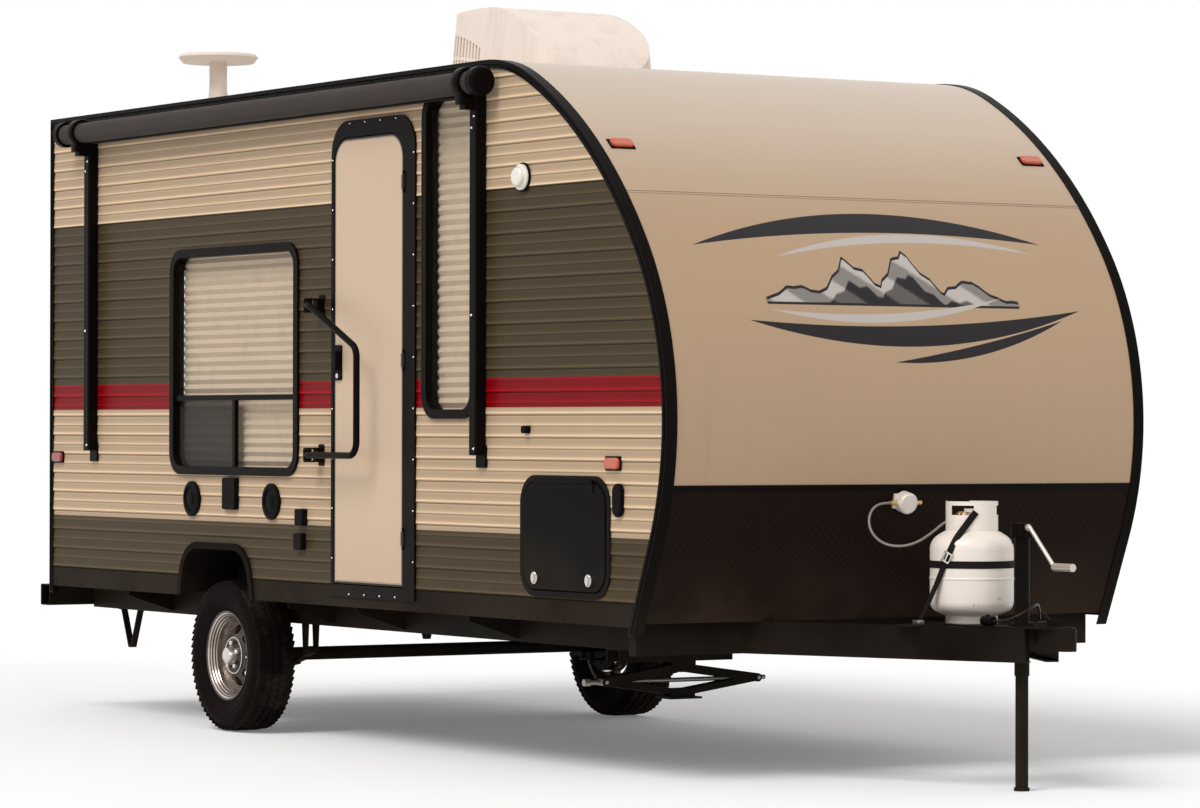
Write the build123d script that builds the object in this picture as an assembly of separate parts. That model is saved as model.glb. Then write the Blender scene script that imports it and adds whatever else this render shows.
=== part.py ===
from build123d import *
import math
import os

# Body shell: x runs forward from the rear face, y to the left, z up from the ground
body_width = 2286
roof_height = 2835
wall_bottom = 614
skirt_bottom = 600
trim_bottom = 565
wall_thickness = 38
siding_depth = 7
siding_pitch = 90
nose_start = 4102
crown_radius = 780
crown_turn = 25
brow_radius = 1980
brow_turn = 31
chin_radius = 1230
chin_end_height = 916
cap_seam_height = 2273
lower_panel_height = 1133
trim_width = 30
trim_proud = 4
flange_proud = 11
skirt_top = 689

# Chassis
rail_height = 127
rail_width = 50
rail_web = 6
rail_centre = 840
rail_top = 614
floor_thickness = 60
front_member_x = 5100
member_width = 50
member_height = 100
member_places = (260, 1150, 2340, 3480, 4560)
outrigger_places = (760, 2340, 2960, 3900)
bumper_size = 101.6
bumper_wall = 5
bumper_stand_off = 100
bumper_top = 600
bumper_length = 2200
skid_x = 225
skid_drop = 184
skid_spread = 95
skid_centre = 800
skid_bar = 30
skid_thickness = 8

# Tongue and coupler
tongue_angle = 25
tongue_tip_x = 6250
tongue_tip_y = 58
tongue_width = 50
coupler_reach = 196
coupler_heel = 240
coupler_top = 626
coupler_plate = 6
ball_radius = 25.4
ball_clearance = 0.5
socket_wall = 13
socket_height = 566
socket_mouth = 535

# Tongue jack
jack_x = 6140
jack_tube_radius = 28.5
jack_tube_top = 972
jack_tube_bottom = 432
jack_leg_radius = 24.5
jack_leg_top = 900
jack_foot_radius = 30
jack_foot_height = 12
jack_travel = 340
jack_flange_radius = 52
jack_head = (65, 54)
crank_radius = 8
crank_reach = 195
crank_drop = 150
crank_grip_length = 112
crank_grip_radius = 15

# Running gear
axle_x = 1744
tyre_radius = 338
tyre_width = 205
rim_radius = 190.5
rim_width = 152
half_track = 1008
axle_radius = 30
spindle_radius = 19
running_gap = 0.4
hub_radius = 42
drum_radius = 128
drum_width = 60
spring_half_length = 330
spring_rise = 55
leaf_width = 45
leaf_thickness = 8
leaf_count = 4
eye_radius = 17
eye_bore = 8
hanger_width = 60
shackle_length = 70

# Wheel wells
well_half_width = 356
well_top = 820
well_corner = 150
well_shell = 6
well_inner_y = 870
well_flange = 24

# Windows, given as rear edge, front edge, bottom and top
rear_window = (1310, 2510, 1163, 2150)
front_window = (3620, 4020, 1413, 2720)
rear_wall_window = (-560, 560, 1500, 2150)
window_corner = 88
window_flange = 16
window_rim = 22
window_bar = 24
window_bar_height = 1493
glass_thickness = 4
glass_depth = 12
blind_pitch = 30
blind_thickness = 14
blind_gap = 6

# Entry door
door_frame_outline = (2828, 3546, 643, 2660)
door_frame_corner = 140
door_outline = (2854, 3446, 700, 2585)
door_corner = 105
door_gap = 5
door_proud = 6
hinge_offset = 9
hinge_out = 9
hinge_radius = 6
hinge_pin_radius = 3
hinge_ear = 16
hinge_leaf_height = 90
hinge_places = (900, 1640, 2380)
door_opening_angle = 88
latch_centre = (2894, 1636)
latch_size = (62, 150, 30)

# Grab handle that folds across the door
handle_pivot_x = 2732
handle_upper_z = 1882
handle_lower_z = 1243
handle_stand_off = 70
handle_crank = 40
handle_reach = 504
handle_slant = 190
handle_tube = 14
handle_bracket = (46, 92)
handle_turn = 172

# Baggage door
baggage_outline = (4397, 5039, 709, 1163)
baggage_corner = 100
baggage_rim = 26
baggage_thickness = 30
baggage_hinge_radius = 7
baggage_opening_angle = 150

# Awning along the door side
awning_rear = 345
awning_front = 4170
awning_radius = 48
awning_height = 2745
awning_out = 78
awning_cap_radius = 60
awning_cap_length = 46
awning_arm_width = 56
awning_arm_depth = 50
awning_arm_bottom = 1250
awning_arm_places = (492, 4085)
awning_lip = 42

# Roof equipment
conditioner_rear = 2259
conditioner_length = 950
conditioner_width = 640
conditioner_height = 375
conditioner_corner = 190
grille_count = 13
grille_pitch = 28
grille_slot = 14
antenna_x = 790
antenna_y = -650
antenna_disc_radius = 188
antenna_disc_height = 45
antenna_height = 290
antenna_mast_radius = 42
vent_x = 1650
vent_size = 400
vent_height = 95
plumbing_vent_x = 1120

# Gas bottle and its tray
bottle_x = 5827
bottle_radius = 160
bottle_crown = 230
bottle_knuckle = 62
bottle_base_crown = 300
bottle_base_knuckle = 45
bottle_apex = 994
bottle_shoulder = 964
collar_top = 1084
collar_radius = 100
collar_wall = 3
foot_ring_height = 40
tray_thickness = 6
tray_length = 290
tray_width = 300
tray_wings = (80, 660)
strap_height = 830
strap_width = 28
strap_thickness = 2
regulator_height = 1079
regulator_y = -24
hose_start_y = -100
regulator_radius = 42
regulator_depth = 46
hose_radius = 5
valve_radius = 14

# Wiring cable along the tongue with its plug
cable_radius = 5
gland_height = 694
gland_y = 512
plug_radius = 18
plug_length = 62

# Front stabiliser, a scissor jack lying crosswise under the frame
stabiliser_x = 4640
stabiliser_centre = -560
stabiliser_pin_height = 405
base_plate_height = 30
mount_inner_y = -330
knee_cut_back = 40
foot_drop = 20
trunnion_radius = 13
screw_outer_tail = 60
screw_inner_tail = 50
stabiliser_pin_offset = 34
stabiliser_arm = 330
stabiliser_folded_angle = 8
stabiliser_lift = 26
stabiliser_pin_radius = 7
channel_width = 64
channel_height = 34
channel_wall = 4
screw_radius = 9
foot_plate = (150, 110, 8)

# Lamps and small fittings on the walls
marker_size = (100, 44, 18)
side_markers = ((94, 1217), (5072, 1225))
cap_marker_turn = 41
cap_marker_y = 1000
tail_lamp_height = 980
tail_lamp_spread = 930
tail_lamp_size = (120, 210, 26)
tail_lamp_depth = 32
porch_light_place = (4398, 2354)
porch_light_radius = 52
speaker_places = ((1512, 1038), (2278, 1036))
speaker_radius = 80
outlet_outline = (1836, 1962, 995, 1137)
small_boxes = ((2565, 973), (2554, 868))
small_box_size = 72
lock_place = (5114, 1084)
lock_size = (66, 128, 16)
catch_place = (4437, 1354)
fitting_depth = 14
fridge_vent = (3480, 4010, 760, 1120)
heater_door = (2300, 2640, 740, 1060)
furnace_vent = (900, 1130, 860, 980)
power_inlet = (420, 530, 860, 980)

# Ties between the pieces
half_width = body_width / 2
wall_outer = half_width - siding_depth
wall_inner = wall_outer - wall_thickness
rail_bottom = rail_top - rail_height
floor_top = rail_top + floor_thickness
trim_face = half_width + flange_proud - siding_depth
flange_face = half_width + flange_proud
rail_outer = rail_centre + rail_width / 2
rail_inner = rail_centre - rail_width / 2
joint_pin_y = -(half_width + hinge_out)
door_pin_x = door_outline[1] + hinge_offset

parts = {}
wall_fittings = []


# Basic forms
def block(x_low, x_high, y_low, y_high, z_low, z_high):
    size = (x_high - x_low, y_high - y_low, z_high - z_low)
    middle = ((x_low + x_high) / 2, (y_low + y_high) / 2, (z_low + z_high) / 2)
    return Pos(*middle) * Box(*size)


def panel(outline, corner=0, grow=0):
    low, high, bottom, top = outline
    width = high - low + 2 * grow
    height = top - bottom + 2 * grow
    place = Pos((low + high) / 2, (bottom + top) / 2)
    radius = corner + grow if corner else 0
    if radius > 0:
        return place * RectangleRounded(width, height, radius)
    return place * Rectangle(width, height)


def along_y(sketch, y_low, y_high):
    return extrude(Plane.XZ.offset(-y_high) * sketch, y_high - y_low, dir=(0, -1, 0))


def along_x(sketch, x_low, x_high):
    return extrude(Plane.YZ.offset(x_low) * sketch, x_high - x_low, dir=(1, 0, 0))


def rod(start, end, radius):
    start = Vector(*start)
    reach = Vector(*end) - start
    plane = Plane(origin=start, z_dir=reach)
    return extrude(plane * Circle(radius), reach.length, dir=reach.normalized())


def turned(profile, centre, axis_dir):
    plane = Plane(origin=centre, x_dir=(1, 0, 0), z_dir=axis_dir)
    return plane * revolve(Plane.XZ * profile, Axis.Z)


def mirrored(shape):
    return mirror(shape, about=Plane.XZ)


def both_sides(shape):
    return [shape, mirrored(shape)]


def solids_of(items):
    found = []
    for item in items:
        found.extend(item.solids())
    return found


def add(name, *items):
    solids = solids_of(items)
    parts[name] = solids[0] if len(solids) == 1 else Compound(children=solids)


# Angle by which the nose has turned down where its chin reaches a height
def chin_angle(height):
    brow_start = math.cos(math.radians(crown_turn))
    chin_start = math.cos(math.radians(crown_turn + brow_turn))
    chin_top = roof_height - crown_radius * (1 - brow_start) - brow_radius * (brow_start - chin_start)
    return math.degrees(math.acos(chin_start - (chin_top - height) / chin_radius))


chin_turn = chin_angle(chin_end_height) - crown_turn - brow_turn


# Side outline of the body, drawn in by a distance
def side_outline(inset=0, bottom=wall_bottom):
    top = roof_height - inset
    roof_line = Line((inset, top), (nose_start, top))
    crown = JernArc(roof_line @ 1, (1, 0), crown_radius - inset, -crown_turn)
    brow = JernArc(crown @ 1, crown % 1, brow_radius - inset, -brow_turn)
    chin = JernArc(brow @ 1, brow % 1, chin_radius - inset, -chin_turn)
    way = chin % 1
    end = chin @ 1
    foot = end + way * ((end.Y - bottom) / -way.Y)
    front = Line(end, foot)
    base = Line(foot, (inset, bottom))
    rear = Line(base @ 1, (inset, top))
    return make_face([roof_line, crown, brow, chin, front, base, rear])


def nose_ring(low, high):
    ring = side_outline(0, wall_bottom) - side_outline(wall_thickness, wall_bottom - 1)
    window = Pos(nose_start + 1000, (low + high) / 2) * Rectangle(2000, high - low)
    return ring & window


# Point on the nose where its surface has turned down by an angle, and the outward direction there
def nose_point(turn):
    arcs = ((crown_radius, 0, crown_turn), (brow_radius, crown_turn, crown_turn + brow_turn),
            (chin_radius, crown_turn + brow_turn, crown_turn + brow_turn + chin_turn))
    x = nose_start
    z = roof_height
    for radius, low, high in arcs:
        end = min(turn, high)
        x += radius * (math.sin(math.radians(end)) - math.sin(math.radians(low)))
        z -= radius * (math.cos(math.radians(low)) - math.cos(math.radians(end)))
        if turn <= high:
            break
    out = (math.sin(math.radians(turn)), 0, math.cos(math.radians(turn)))
    return x, z, out


def nose_plane(turn, y):
    x, z, out = nose_point(turn)
    return Plane(origin=(x, y, z), x_dir=(0, 1, 0), z_dir=out)


# Outline rounded at its two top corners only
def arched(outline, corner, grow=0):
    low, high, bottom, top = outline
    return panel(outline, corner, grow) + panel((low, high, bottom, (bottom + top) / 2), 0, grow)


# Wheel arch outline, wider at the bottom and rounded above
def arch_outline(grow=0):
    half = well_half_width + grow
    top = well_top + grow
    lean = 60
    corners = [
        (axle_x - half, skirt_bottom - 40),
        (axle_x - half + lean, top),
        (axle_x + half - lean, top),
        (axle_x + half, skirt_bottom - 40),
    ]
    face = make_face(Polyline(*corners, close=True))
    return fillet(face.vertices().group_by(Axis.Y)[-1], well_corner + grow)


# Openings through the walls
def window_sketches(side):
    if side == "right":
        return [panel(rear_window, window_corner), panel(front_window, window_corner)]
    return [panel(rear_window, window_corner)]


def right_openings(grow=0):
    cuts = [panel(w, window_corner, grow) for w in (rear_window, front_window)]
    cuts.append(arched(door_frame_outline, door_frame_corner, grow - window_flange))
    cuts.append(panel(baggage_outline, baggage_corner, grow - 6))
    cuts.append(arch_outline(grow))
    return cuts


def left_openings(grow=0):
    return [panel(rear_window, window_corner, grow), arch_outline(grow)]


def wall(openings):
    face = side_outline(0, wall_bottom)
    for cut in openings:
        face -= cut
    return along_y(face, -wall_outer, -wall_inner)


# Lapped siding, a repeated course with its step at the foot
def siding_section():
    top = roof_height - trim_width
    points = [(0, skirt_top)]
    height = skirt_top
    while height < top:
        step = min(siding_pitch, top - height)
        points.append((siding_depth, height + step * 0.1))
        points.append((siding_depth * 0.55, height + step * 0.5))
        points.append((siding_depth * 0.75, height + step * 0.56))
        points.append((siding_depth * 0.2, height + step))
        height += step
    points.append((0, top))
    return make_face(Polyline(*points, close=True))


def siding(openings):
    skin = along_x(Pos(wall_outer, 0) * siding_section(), 0, nose_start + 2000)
    face = side_outline(trim_width, skirt_top)
    for cut in openings:
        face -= cut
    return mirrored(skin) & along_y(face, -half_width, -wall_outer)


def rear_siding():
    skin = mirror(along_y(siding_section(), -wall_inner, wall_inner), about=Plane.YZ)
    skin -= along_x(panel(rear_wall_window, window_corner), -2 * siding_depth, 1)
    for y in (-tail_lamp_spread, tail_lamp_spread):
        skin -= along_x(tail_lamp_face(y), -2 * siding_depth, 1)
    return skin


def tail_lamp_face(y):
    wide, tall, corner = tail_lamp_size
    return Pos(y, tail_lamp_height) * RectangleRounded(wide, tall, corner)


def corner_trim():
    lap = side_outline(-trim_proud, trim_bottom) - side_outline(trim_width, trim_bottom - 1)
    edge = side_outline(-trim_proud, trim_bottom) - side_outline(0, trim_bottom - 1)
    outer = along_y(lap, -trim_face, -wall_outer)
    cover = along_y(edge, -wall_outer, -wall_inner)
    return outer + cover


def skirt(openings):
    face = panel((0, nose_start + 2000, skirt_bottom, skirt_top))
    face &= side_outline(trim_width, skirt_bottom)
    for cut in openings:
        face -= cut
    return along_y(face, -half_width, -wall_outer)


# Walls, roof, floor and nose
def build_shell():
    right = right_openings()
    left = left_openings()
    add("wall_right", wall(right))
    add("wall_left", mirrored(wall(left)))
    add("siding", siding(right), mirrored(siding(left)), rear_siding())
    add("corner_trims", *both_sides(corner_trim()))
    rear_skirt = block(-siding_depth, 0, -wall_inner, wall_inner, wall_bottom, skirt_top)
    add("skirts", skirt(right), mirrored(skirt(left)), rear_skirt)
    rear_face = panel((-wall_inner, wall_inner, rail_top, roof_height))
    rear_face -= panel(rear_wall_window, window_corner)
    add("wall_rear", along_x(rear_face, 0, wall_thickness))
    roof_bottom = roof_height - wall_thickness
    add("roof", block(wall_thickness, nose_start, -wall_inner, wall_inner, roof_bottom, roof_height))
    heights = [wall_bottom, lower_panel_height, cap_seam_height, roof_height]
    for name, low, high in zip(("nose_lower", "nose_panel", "nose_cap"), heights, heights[1:]):
        add(name, along_y(nose_ring(low, high), -wall_inner, wall_inner))
    floor_outline = side_outline(wall_thickness, rail_top)
    floor_outline &= panel((0, nose_start + 2000, rail_top, floor_top))
    floor = along_y(floor_outline, -wall_inner, wall_inner)
    notch = block(axle_x - well_half_width - 8, axle_x + well_half_width + 8,
                  well_inner_y - well_shell, half_width, rail_top - 1, floor_top + 1)
    add("floor", floor - notch - mirrored(notch))


def build_wells():
    outer = arch_outline()
    inner = arch_outline(-well_shell)
    clip = panel((axle_x - 600, axle_x + 600, rail_top, well_top + 100))
    shell = along_y((outer - inner) & clip, -wall_outer, -well_inner_y)
    back = along_y(outer & clip, -well_inner_y, -well_inner_y + well_shell)
    clip_out = panel((axle_x - 600, axle_x + 600, skirt_bottom, well_top + 100))
    lip = along_y((arch_outline(well_flange) - inner) & clip_out, -flange_face, -half_width)
    sleeve = along_y((outer - inner) & clip_out, -half_width, -wall_outer)
    well = shell + back + lip + sleeve
    add("wheel_wells", *both_sides(well))


# A window: outside flange, sleeve through the wall, and its bars
def window_frame(outline, bars):
    hole = panel(outline, window_corner)
    flange = panel(outline, window_corner, window_flange)
    clear = panel(outline, window_corner, -window_rim)
    frame = along_y(flange - clear, -flange_face, -half_width)
    frame += along_y(hole - clear, -half_width, -wall_inner)
    for bar in bars:
        frame += along_y(bar & hole, -half_width, -wall_outer + glass_depth)
    return frame


def pleated(outline):
    low, high, bottom, top = outline
    count = round((top - bottom) / blind_pitch)
    pitch = (top - bottom) / count
    front = [(0, bottom)]
    for i in range(count):
        front.append((blind_thickness / 2, bottom + pitch * (i + 0.5)))
        front.append((0, bottom + pitch * (i + 1)))
    back = [(y + blind_thickness / 2, z) for y, z in reversed(front)]
    return along_x(make_face(Polyline(*front, *back, close=True)), low, high)


def shrink(outline, amount):
    low, high, bottom, top = outline
    return (low + amount, high - amount, bottom + amount, top - amount)


def build_windows():
    low, high, bottom, top = rear_window
    middle = (low + high) / 2
    bar = panel((low, high, window_bar_height - window_bar / 2, window_bar_height + window_bar / 2))
    post = panel((middle - window_bar / 2, middle + window_bar / 2, bottom, window_bar_height))
    wide = window_frame(rear_window, [bar, post])
    tall = window_frame(front_window, [])
    hole = panel(rear_wall_window, window_corner)
    flange = panel(rear_wall_window, window_corner, window_flange)
    clear = panel(rear_wall_window, window_corner, -window_rim)
    rear = along_x(flange - clear, -siding_depth - flange_proud, -siding_depth)
    rear += along_x(hole - clear, -siding_depth, wall_thickness)
    add("window_frames", wide, tall, mirrored(wide), rear)
    pane_out = -wall_outer + glass_depth
    pane_in = pane_out + glass_thickness
    panes = []
    for outline in (rear_window, front_window):
        face = panel(outline, window_corner, -window_rim)
        panes.append(along_y(face, pane_out, pane_in))
    panes.append(mirrored(panes[0]))
    rear_pane = panel(rear_wall_window, window_corner, -window_rim)
    panes.append(along_x(rear_pane, glass_depth, glass_depth + glass_thickness))
    add("window_panes", *panes)
    blinds = []
    for outline in (rear_window, front_window):
        blinds.append(Pos(0, -wall_inner + 0.3, 0) * pleated(shrink(outline, blind_gap)))
    blinds.append(mirrored(blinds[0]))
    add("blinds", *blinds)


# Entry door, its frame, its latch and the folding grab handle
def build_entry():
    outer = arched(door_frame_outline, door_frame_corner)
    body = arched(door_frame_outline, door_frame_corner, -window_flange)
    clear = arched(door_outline, door_corner, door_gap)
    frame = along_y(outer - clear, -flange_face + 3, -half_width)
    frame += along_y(body - clear, -half_width, -wall_inner)
    pin_reach = hinge_radius + 1.5
    half = hinge_leaf_height / 2
    knuckle_half = half - hinge_ear
    for height in hinge_places:
        pocket = block(door_pin_x - pin_reach, door_pin_x + pin_reach, -half_width - 40, -half_width + 12,
                       height - knuckle_half, height + knuckle_half)
        frame -= pocket
        bottom = (door_pin_x, joint_pin_y, height - half)
        top = (door_pin_x, joint_pin_y, height + half)
        frame += rod(bottom, (door_pin_x, joint_pin_y, height - knuckle_half), hinge_radius)
        frame += rod((door_pin_x, joint_pin_y, height + knuckle_half), top, hinge_radius)
        frame += rod(bottom, top, hinge_pin_radius)
    face = arched(door_outline, door_corner)
    door = along_y(face, -half_width - door_proud, -wall_inner)
    for height in hinge_places:
        low = height - knuckle_half + 1
        high = height + knuckle_half - 1
        door += rod((door_pin_x, joint_pin_y, low), (door_pin_x, joint_pin_y, high), hinge_radius)
        door += block(door_outline[1] - 20, door_pin_x, joint_pin_y - 1.5, joint_pin_y + 3, low, high)
        door -= rod((door_pin_x, joint_pin_y, low - 1), (door_pin_x, joint_pin_y, high + 1),
                    hinge_pin_radius + running_gap)
    add("entry_door", door)
    parts["door_frames"] = frame
    x, z = latch_centre
    wide, tall, deep = latch_size
    face = Pos(x, z) * RectangleRounded(wide, tall, 10)
    surface = -half_width - door_proud
    latch = along_y(face, surface - 8, surface)
    paddle = Pos(x + 6, z + 8) * RectangleRounded(wide * 0.5, tall * 0.55, 6)
    latch += along_y(paddle, surface - deep, surface - 8)
    add("door_latch", latch)


def handle_path():
    y = -half_width - handle_stand_off
    out = y - handle_crank
    knee = handle_pivot_x + 80
    tip = handle_pivot_x + handle_reach
    points = [
        (handle_pivot_x, y, handle_upper_z),
        (knee, out, handle_upper_z),
        (tip, out, handle_upper_z - handle_slant),
        (tip, out, handle_lower_z),
        (knee, out, handle_lower_z),
        (handle_pivot_x, y, handle_lower_z),
    ]
    return FilletPolyline(*points, radius=[50, 60, 60, 50])


def build_handle():
    wide, tall = handle_bracket
    y = -half_width - handle_stand_off
    path = handle_path()
    handle = sweep(Plane(origin=path @ 0, z_dir=path % 0) * Circle(handle_tube), path)
    for height in (handle_upper_z, handle_lower_z):
        barrel = rod((handle_pivot_x, y, height - 24), (handle_pivot_x, y, height + 24), handle_tube + 5)
        bore = rod((handle_pivot_x, y, height - 25), (handle_pivot_x, y, height + 25), 6.4)
        handle = handle + barrel - bore
        place = Pos(handle_pivot_x, height)
        plate = along_y(place * RectangleRounded(wide, tall, 8), -trim_face, -half_width)
        arms = along_y(place * Rectangle(34, 62), y, -trim_face)
        nose = rod((handle_pivot_x, y, height - 31), (handle_pivot_x, y, height + 31), 17)
        slot = rod((handle_pivot_x, y, height - 24.4), (handle_pivot_x, y, height + 24.4), 60)
        gap = slot & block(-9999, 9999, -9999, -half_width - 34, 0, 3000)
        pin = rod((handle_pivot_x, y, height - 31), (handle_pivot_x, y, height + 31), 6)
        wall_fittings.append((plate + arms + nose) - gap + pin)
    add("grab_handle", handle)


def build_baggage():
    opening = panel(baggage_outline, baggage_corner, -6)
    rim = panel(baggage_outline, baggage_corner, baggage_rim - 14)
    clear = panel(baggage_outline, baggage_corner, -12)
    frame = along_y(rim - clear, -half_width - 4, -half_width)
    frame += along_y(opening - clear, -half_width, -wall_inner)
    add("door_frames", parts["door_frames"], frame)
    face = panel(baggage_outline, baggage_corner, -12 - door_gap)
    door = along_y(face, -half_width - 8, -half_width - 8 + baggage_thickness)
    door = fillet(door.faces().sort_by(Axis.Y)[0].edges(), 5)
    low, high, bottom, top = baggage_outline
    pin_y = -half_width - baggage_hinge_radius - 4.4
    pin_z = top - 12
    bead = rod((low + 100, pin_y, pin_z), (high - 100, pin_y, pin_z), baggage_hinge_radius)
    strip = block(low + 100, high - 100, pin_y, pin_y + 6, pin_z - 40, pin_z)
    add("baggage_door", door + bead + strip)
    latches = []
    for x in (low + 120, high - 120):
        z = bottom + 62
        cup = rod((x, -half_width - 8, z), (x, -half_width - 20, z), 24)
        bar = along_y(Pos(x, z) * RectangleRounded(14, 40, 6), -half_width - 27, -half_width - 20)
        latches.append(cup + bar)
    add("baggage_latches", *latches)
    return pin_y, pin_z


# Chassis
def channel(height, width, web):
    outer = Rectangle(width, height)
    hollow = Pos(-web, 0) * Rectangle(width, height - 2 * web)
    return outer - hollow


def tongue_place():
    return Pos(tongue_tip_x, -tongue_tip_y, rail_top - rail_height / 2) * Rot(0, 0, tongue_angle)


def build_chassis():
    section = Pos(rail_centre, rail_top - rail_height / 2) * channel(rail_height, rail_width, rail_web)
    rail = along_x(section, -bumper_stand_off, front_member_x)
    add("chassis_rails", *both_sides(rail))
    length = 2000
    bar = along_x(channel(rail_height, tongue_width, rail_web), -length, 0)
    beam = tongue_place() * mirrored(bar)
    beam &= block(0, tongue_tip_x + coupler_reach, -rail_inner, 0, 0, 2000)
    add("tongue_beams", *both_sides(beam))
    solid_bar = tongue_place() * block(-length, 0, -tongue_width / 2, tongue_width / 2,
                                       -rail_height / 2, rail_height / 2)
    keep_out = [solid_bar, mirrored(solid_bar)]
    members = []
    for x in member_places:
        piece = block(x, x + member_width, -rail_inner, rail_inner, rail_top - member_height, rail_top)
        hollow = block(x + rail_web, x + member_width, -rail_inner, rail_inner,
                       rail_top - member_height + rail_web, rail_top - rail_web)
        piece -= hollow
        for bar_solid in keep_out:
            piece -= bar_solid
        members.append(piece)
    front = block(front_member_x, front_member_x + member_width, -wall_inner + 8, wall_inner - 8,
                  rail_bottom, rail_top)
    for bar_solid in keep_out:
        front -= bar_solid
    members.append(front)
    brackets = []
    for x in outrigger_places:
        profile = Polyline((rail_outer, rail_top), (wall_inner, rail_top), (wall_inner, rail_top - 40),
                           (rail_outer, rail_bottom + 10), close=True)
        arm = along_x(make_face(profile), x, x + rail_web)
        brackets.extend(both_sides(arm))
    add("cross_members", *members, *brackets)
    square = Pos(0, bumper_top - bumper_size / 2) * RectangleRounded(bumper_size, bumper_size, 8)
    bore = Pos(0, bumper_top - bumper_size / 2) * Rectangle(bumper_size - 2 * bumper_wall,
                                                            bumper_size - 2 * bumper_wall)
    middle = -bumper_stand_off - bumper_size / 2
    bumper = along_y(Pos(middle, 0) * (square - bore), -bumper_length / 2, bumper_length / 2)
    add("rear_bumper", bumper, *both_sides(rear_skid()))


def rear_skid():
    top = rail_bottom
    tip = top - skid_drop
    half = skid_spread
    outer = [(skid_x - half, top), (skid_x - 14, tip), (skid_x + 14, tip), (skid_x + half, top)]
    inner = [(skid_x + half - 10, top), (skid_x + 9, tip + skid_thickness),
             (skid_x - 9, tip + skid_thickness), (skid_x - half + 10, top)]
    face = make_face(Polyline(*outer, *inner, close=True))
    leg = along_y(face, -skid_centre - skid_bar, -skid_centre)
    pads = []
    for x in (skid_x - half - 24, skid_x + half - 10):
        pads.append(block(x, x + 34, -skid_centre - skid_bar, -skid_centre, top - 6, top))
    for pad in pads:
        leg += pad
    return leg


# Coupler with its ball socket, latch and the jack's mounting flange
def build_coupler():
    socket_x = tongue_tip_x + coupler_reach - ball_radius - ball_clearance - socket_wall
    bore_radius = ball_radius + ball_clearance
    outer = bore_radius + socket_wall
    head = extrude(Plane.XY.offset(socket_mouth) * Pos(socket_x, 0) * Circle(outer), coupler_top - socket_mouth)
    head += block(tongue_tip_x + 40, socket_x, -outer, outer, socket_mouth + 8, coupler_top)
    head = fillet(head.faces().sort_by(Axis.Z)[-1].edges(), 14)
    half = tongue_tip_y + tongue_width / 2
    heel = tongue_tip_x - coupler_heel
    flare = half + 92
    plate = Polyline((heel, -flare), (tongue_tip_x, -half), (socket_x - 20, -outer),
                     (socket_x - 20, outer), (tongue_tip_x, half), (heel, flare), close=True)
    deck = extrude(Plane.XY.offset(rail_top) * make_face(plate), coupler_plate)
    web = block(tongue_tip_x + 2, socket_x - 30, -outer + 8, outer - 8, rail_top - 60, rail_top)
    body = head + deck + web
    body -= rod((socket_x, 0, 0), (socket_x, 0, socket_height), bore_radius)
    body -= Pos(socket_x, 0, socket_height) * Sphere(bore_radius)
    body -= rod((jack_x, 0, 0), (jack_x, 0, 900), jack_tube_radius + running_gap)
    lever = block(tongue_tip_x + 52, socket_x - 34, -9, 9, coupler_top, coupler_top + 22)
    lever += rod((tongue_tip_x + 60, 0, coupler_top + 16), (tongue_tip_x + 14, 0, coupler_top + 46), 8)
    add("coupler", body + lever)
    return socket_x


def build_jack():
    tube = extrude(Plane.XY.offset(jack_tube_bottom) * Pos(jack_x, 0) * Circle(jack_tube_radius),
                   jack_tube_top - jack_tube_bottom)
    wide, tall = jack_head
    head = Pos(jack_x, 0, jack_tube_top + 34 - tall / 2) * Box(wide, wide, tall)
    tube += fillet(head.edges().filter_by(Axis.Z), 12)
    flange_base = rail_top + coupler_plate
    tube += rod((jack_x, 0, flange_base), (jack_x, 0, flange_base + 8), jack_flange_radius)
    inner = jack_leg_radius + running_gap
    tube -= rod((jack_x, 0, 0), (jack_x, 0, jack_tube_top - 24), inner)
    add("jack_tube", tube)
    leg = rod((jack_x, 0, jack_foot_height), (jack_x, 0, jack_leg_top - jack_travel), jack_leg_radius)
    leg += rod((jack_x, 0, 0), (jack_x, 0, jack_foot_height), jack_foot_radius)
    add("jack_leg", leg)
    start = (jack_x + jack_head[0] / 2, 0, jack_tube_top + 18)
    elbow = (start[0] + 14, 0, start[2])
    reach = (jack_x + crank_reach, 0, jack_tube_top + 24 - crank_drop)
    hub = rod(start, (start[0] + 8, 0, start[2]), crank_radius + 5)
    arm = rod(start, elbow, crank_radius) + rod(elbow, reach, crank_radius)
    grip_end = (reach[0] + crank_grip_length, reach[1], reach[2])
    grip = rod(reach, grip_end, crank_grip_radius)
    add("jack_crank", hub + arm + Pos(*elbow) * Sphere(crank_radius) + grip)


# Wheels
def tyre_profile():
    half = tyre_width / 2
    bead = rim_width / 2
    seat = rim_radius + 2
    points = [(seat, -bead + 4.6), (rim_radius + 12, -bead + 0.3)]
    side = Spline(points[1], (rim_radius + 70, -half), (tyre_radius - 22, -half + 12))
    shoulder = ThreePointArc((tyre_radius - 22, -half + 12), (tyre_radius - 6, -half + 20),
                             (tyre_radius - 1.5, -half + 38))
    tread = ThreePointArc((tyre_radius - 1.5, -half + 38), (tyre_radius, 0), (tyre_radius - 1.5, half - 38))
    start = Line(points[0], points[1])
    right = [mirror(edge, about=Plane.XZ) for edge in (shoulder, side, start)]
    base = Line((seat, bead - 4.6), points[0])
    return make_face([start, side, shoulder, tread, *right, base])


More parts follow.
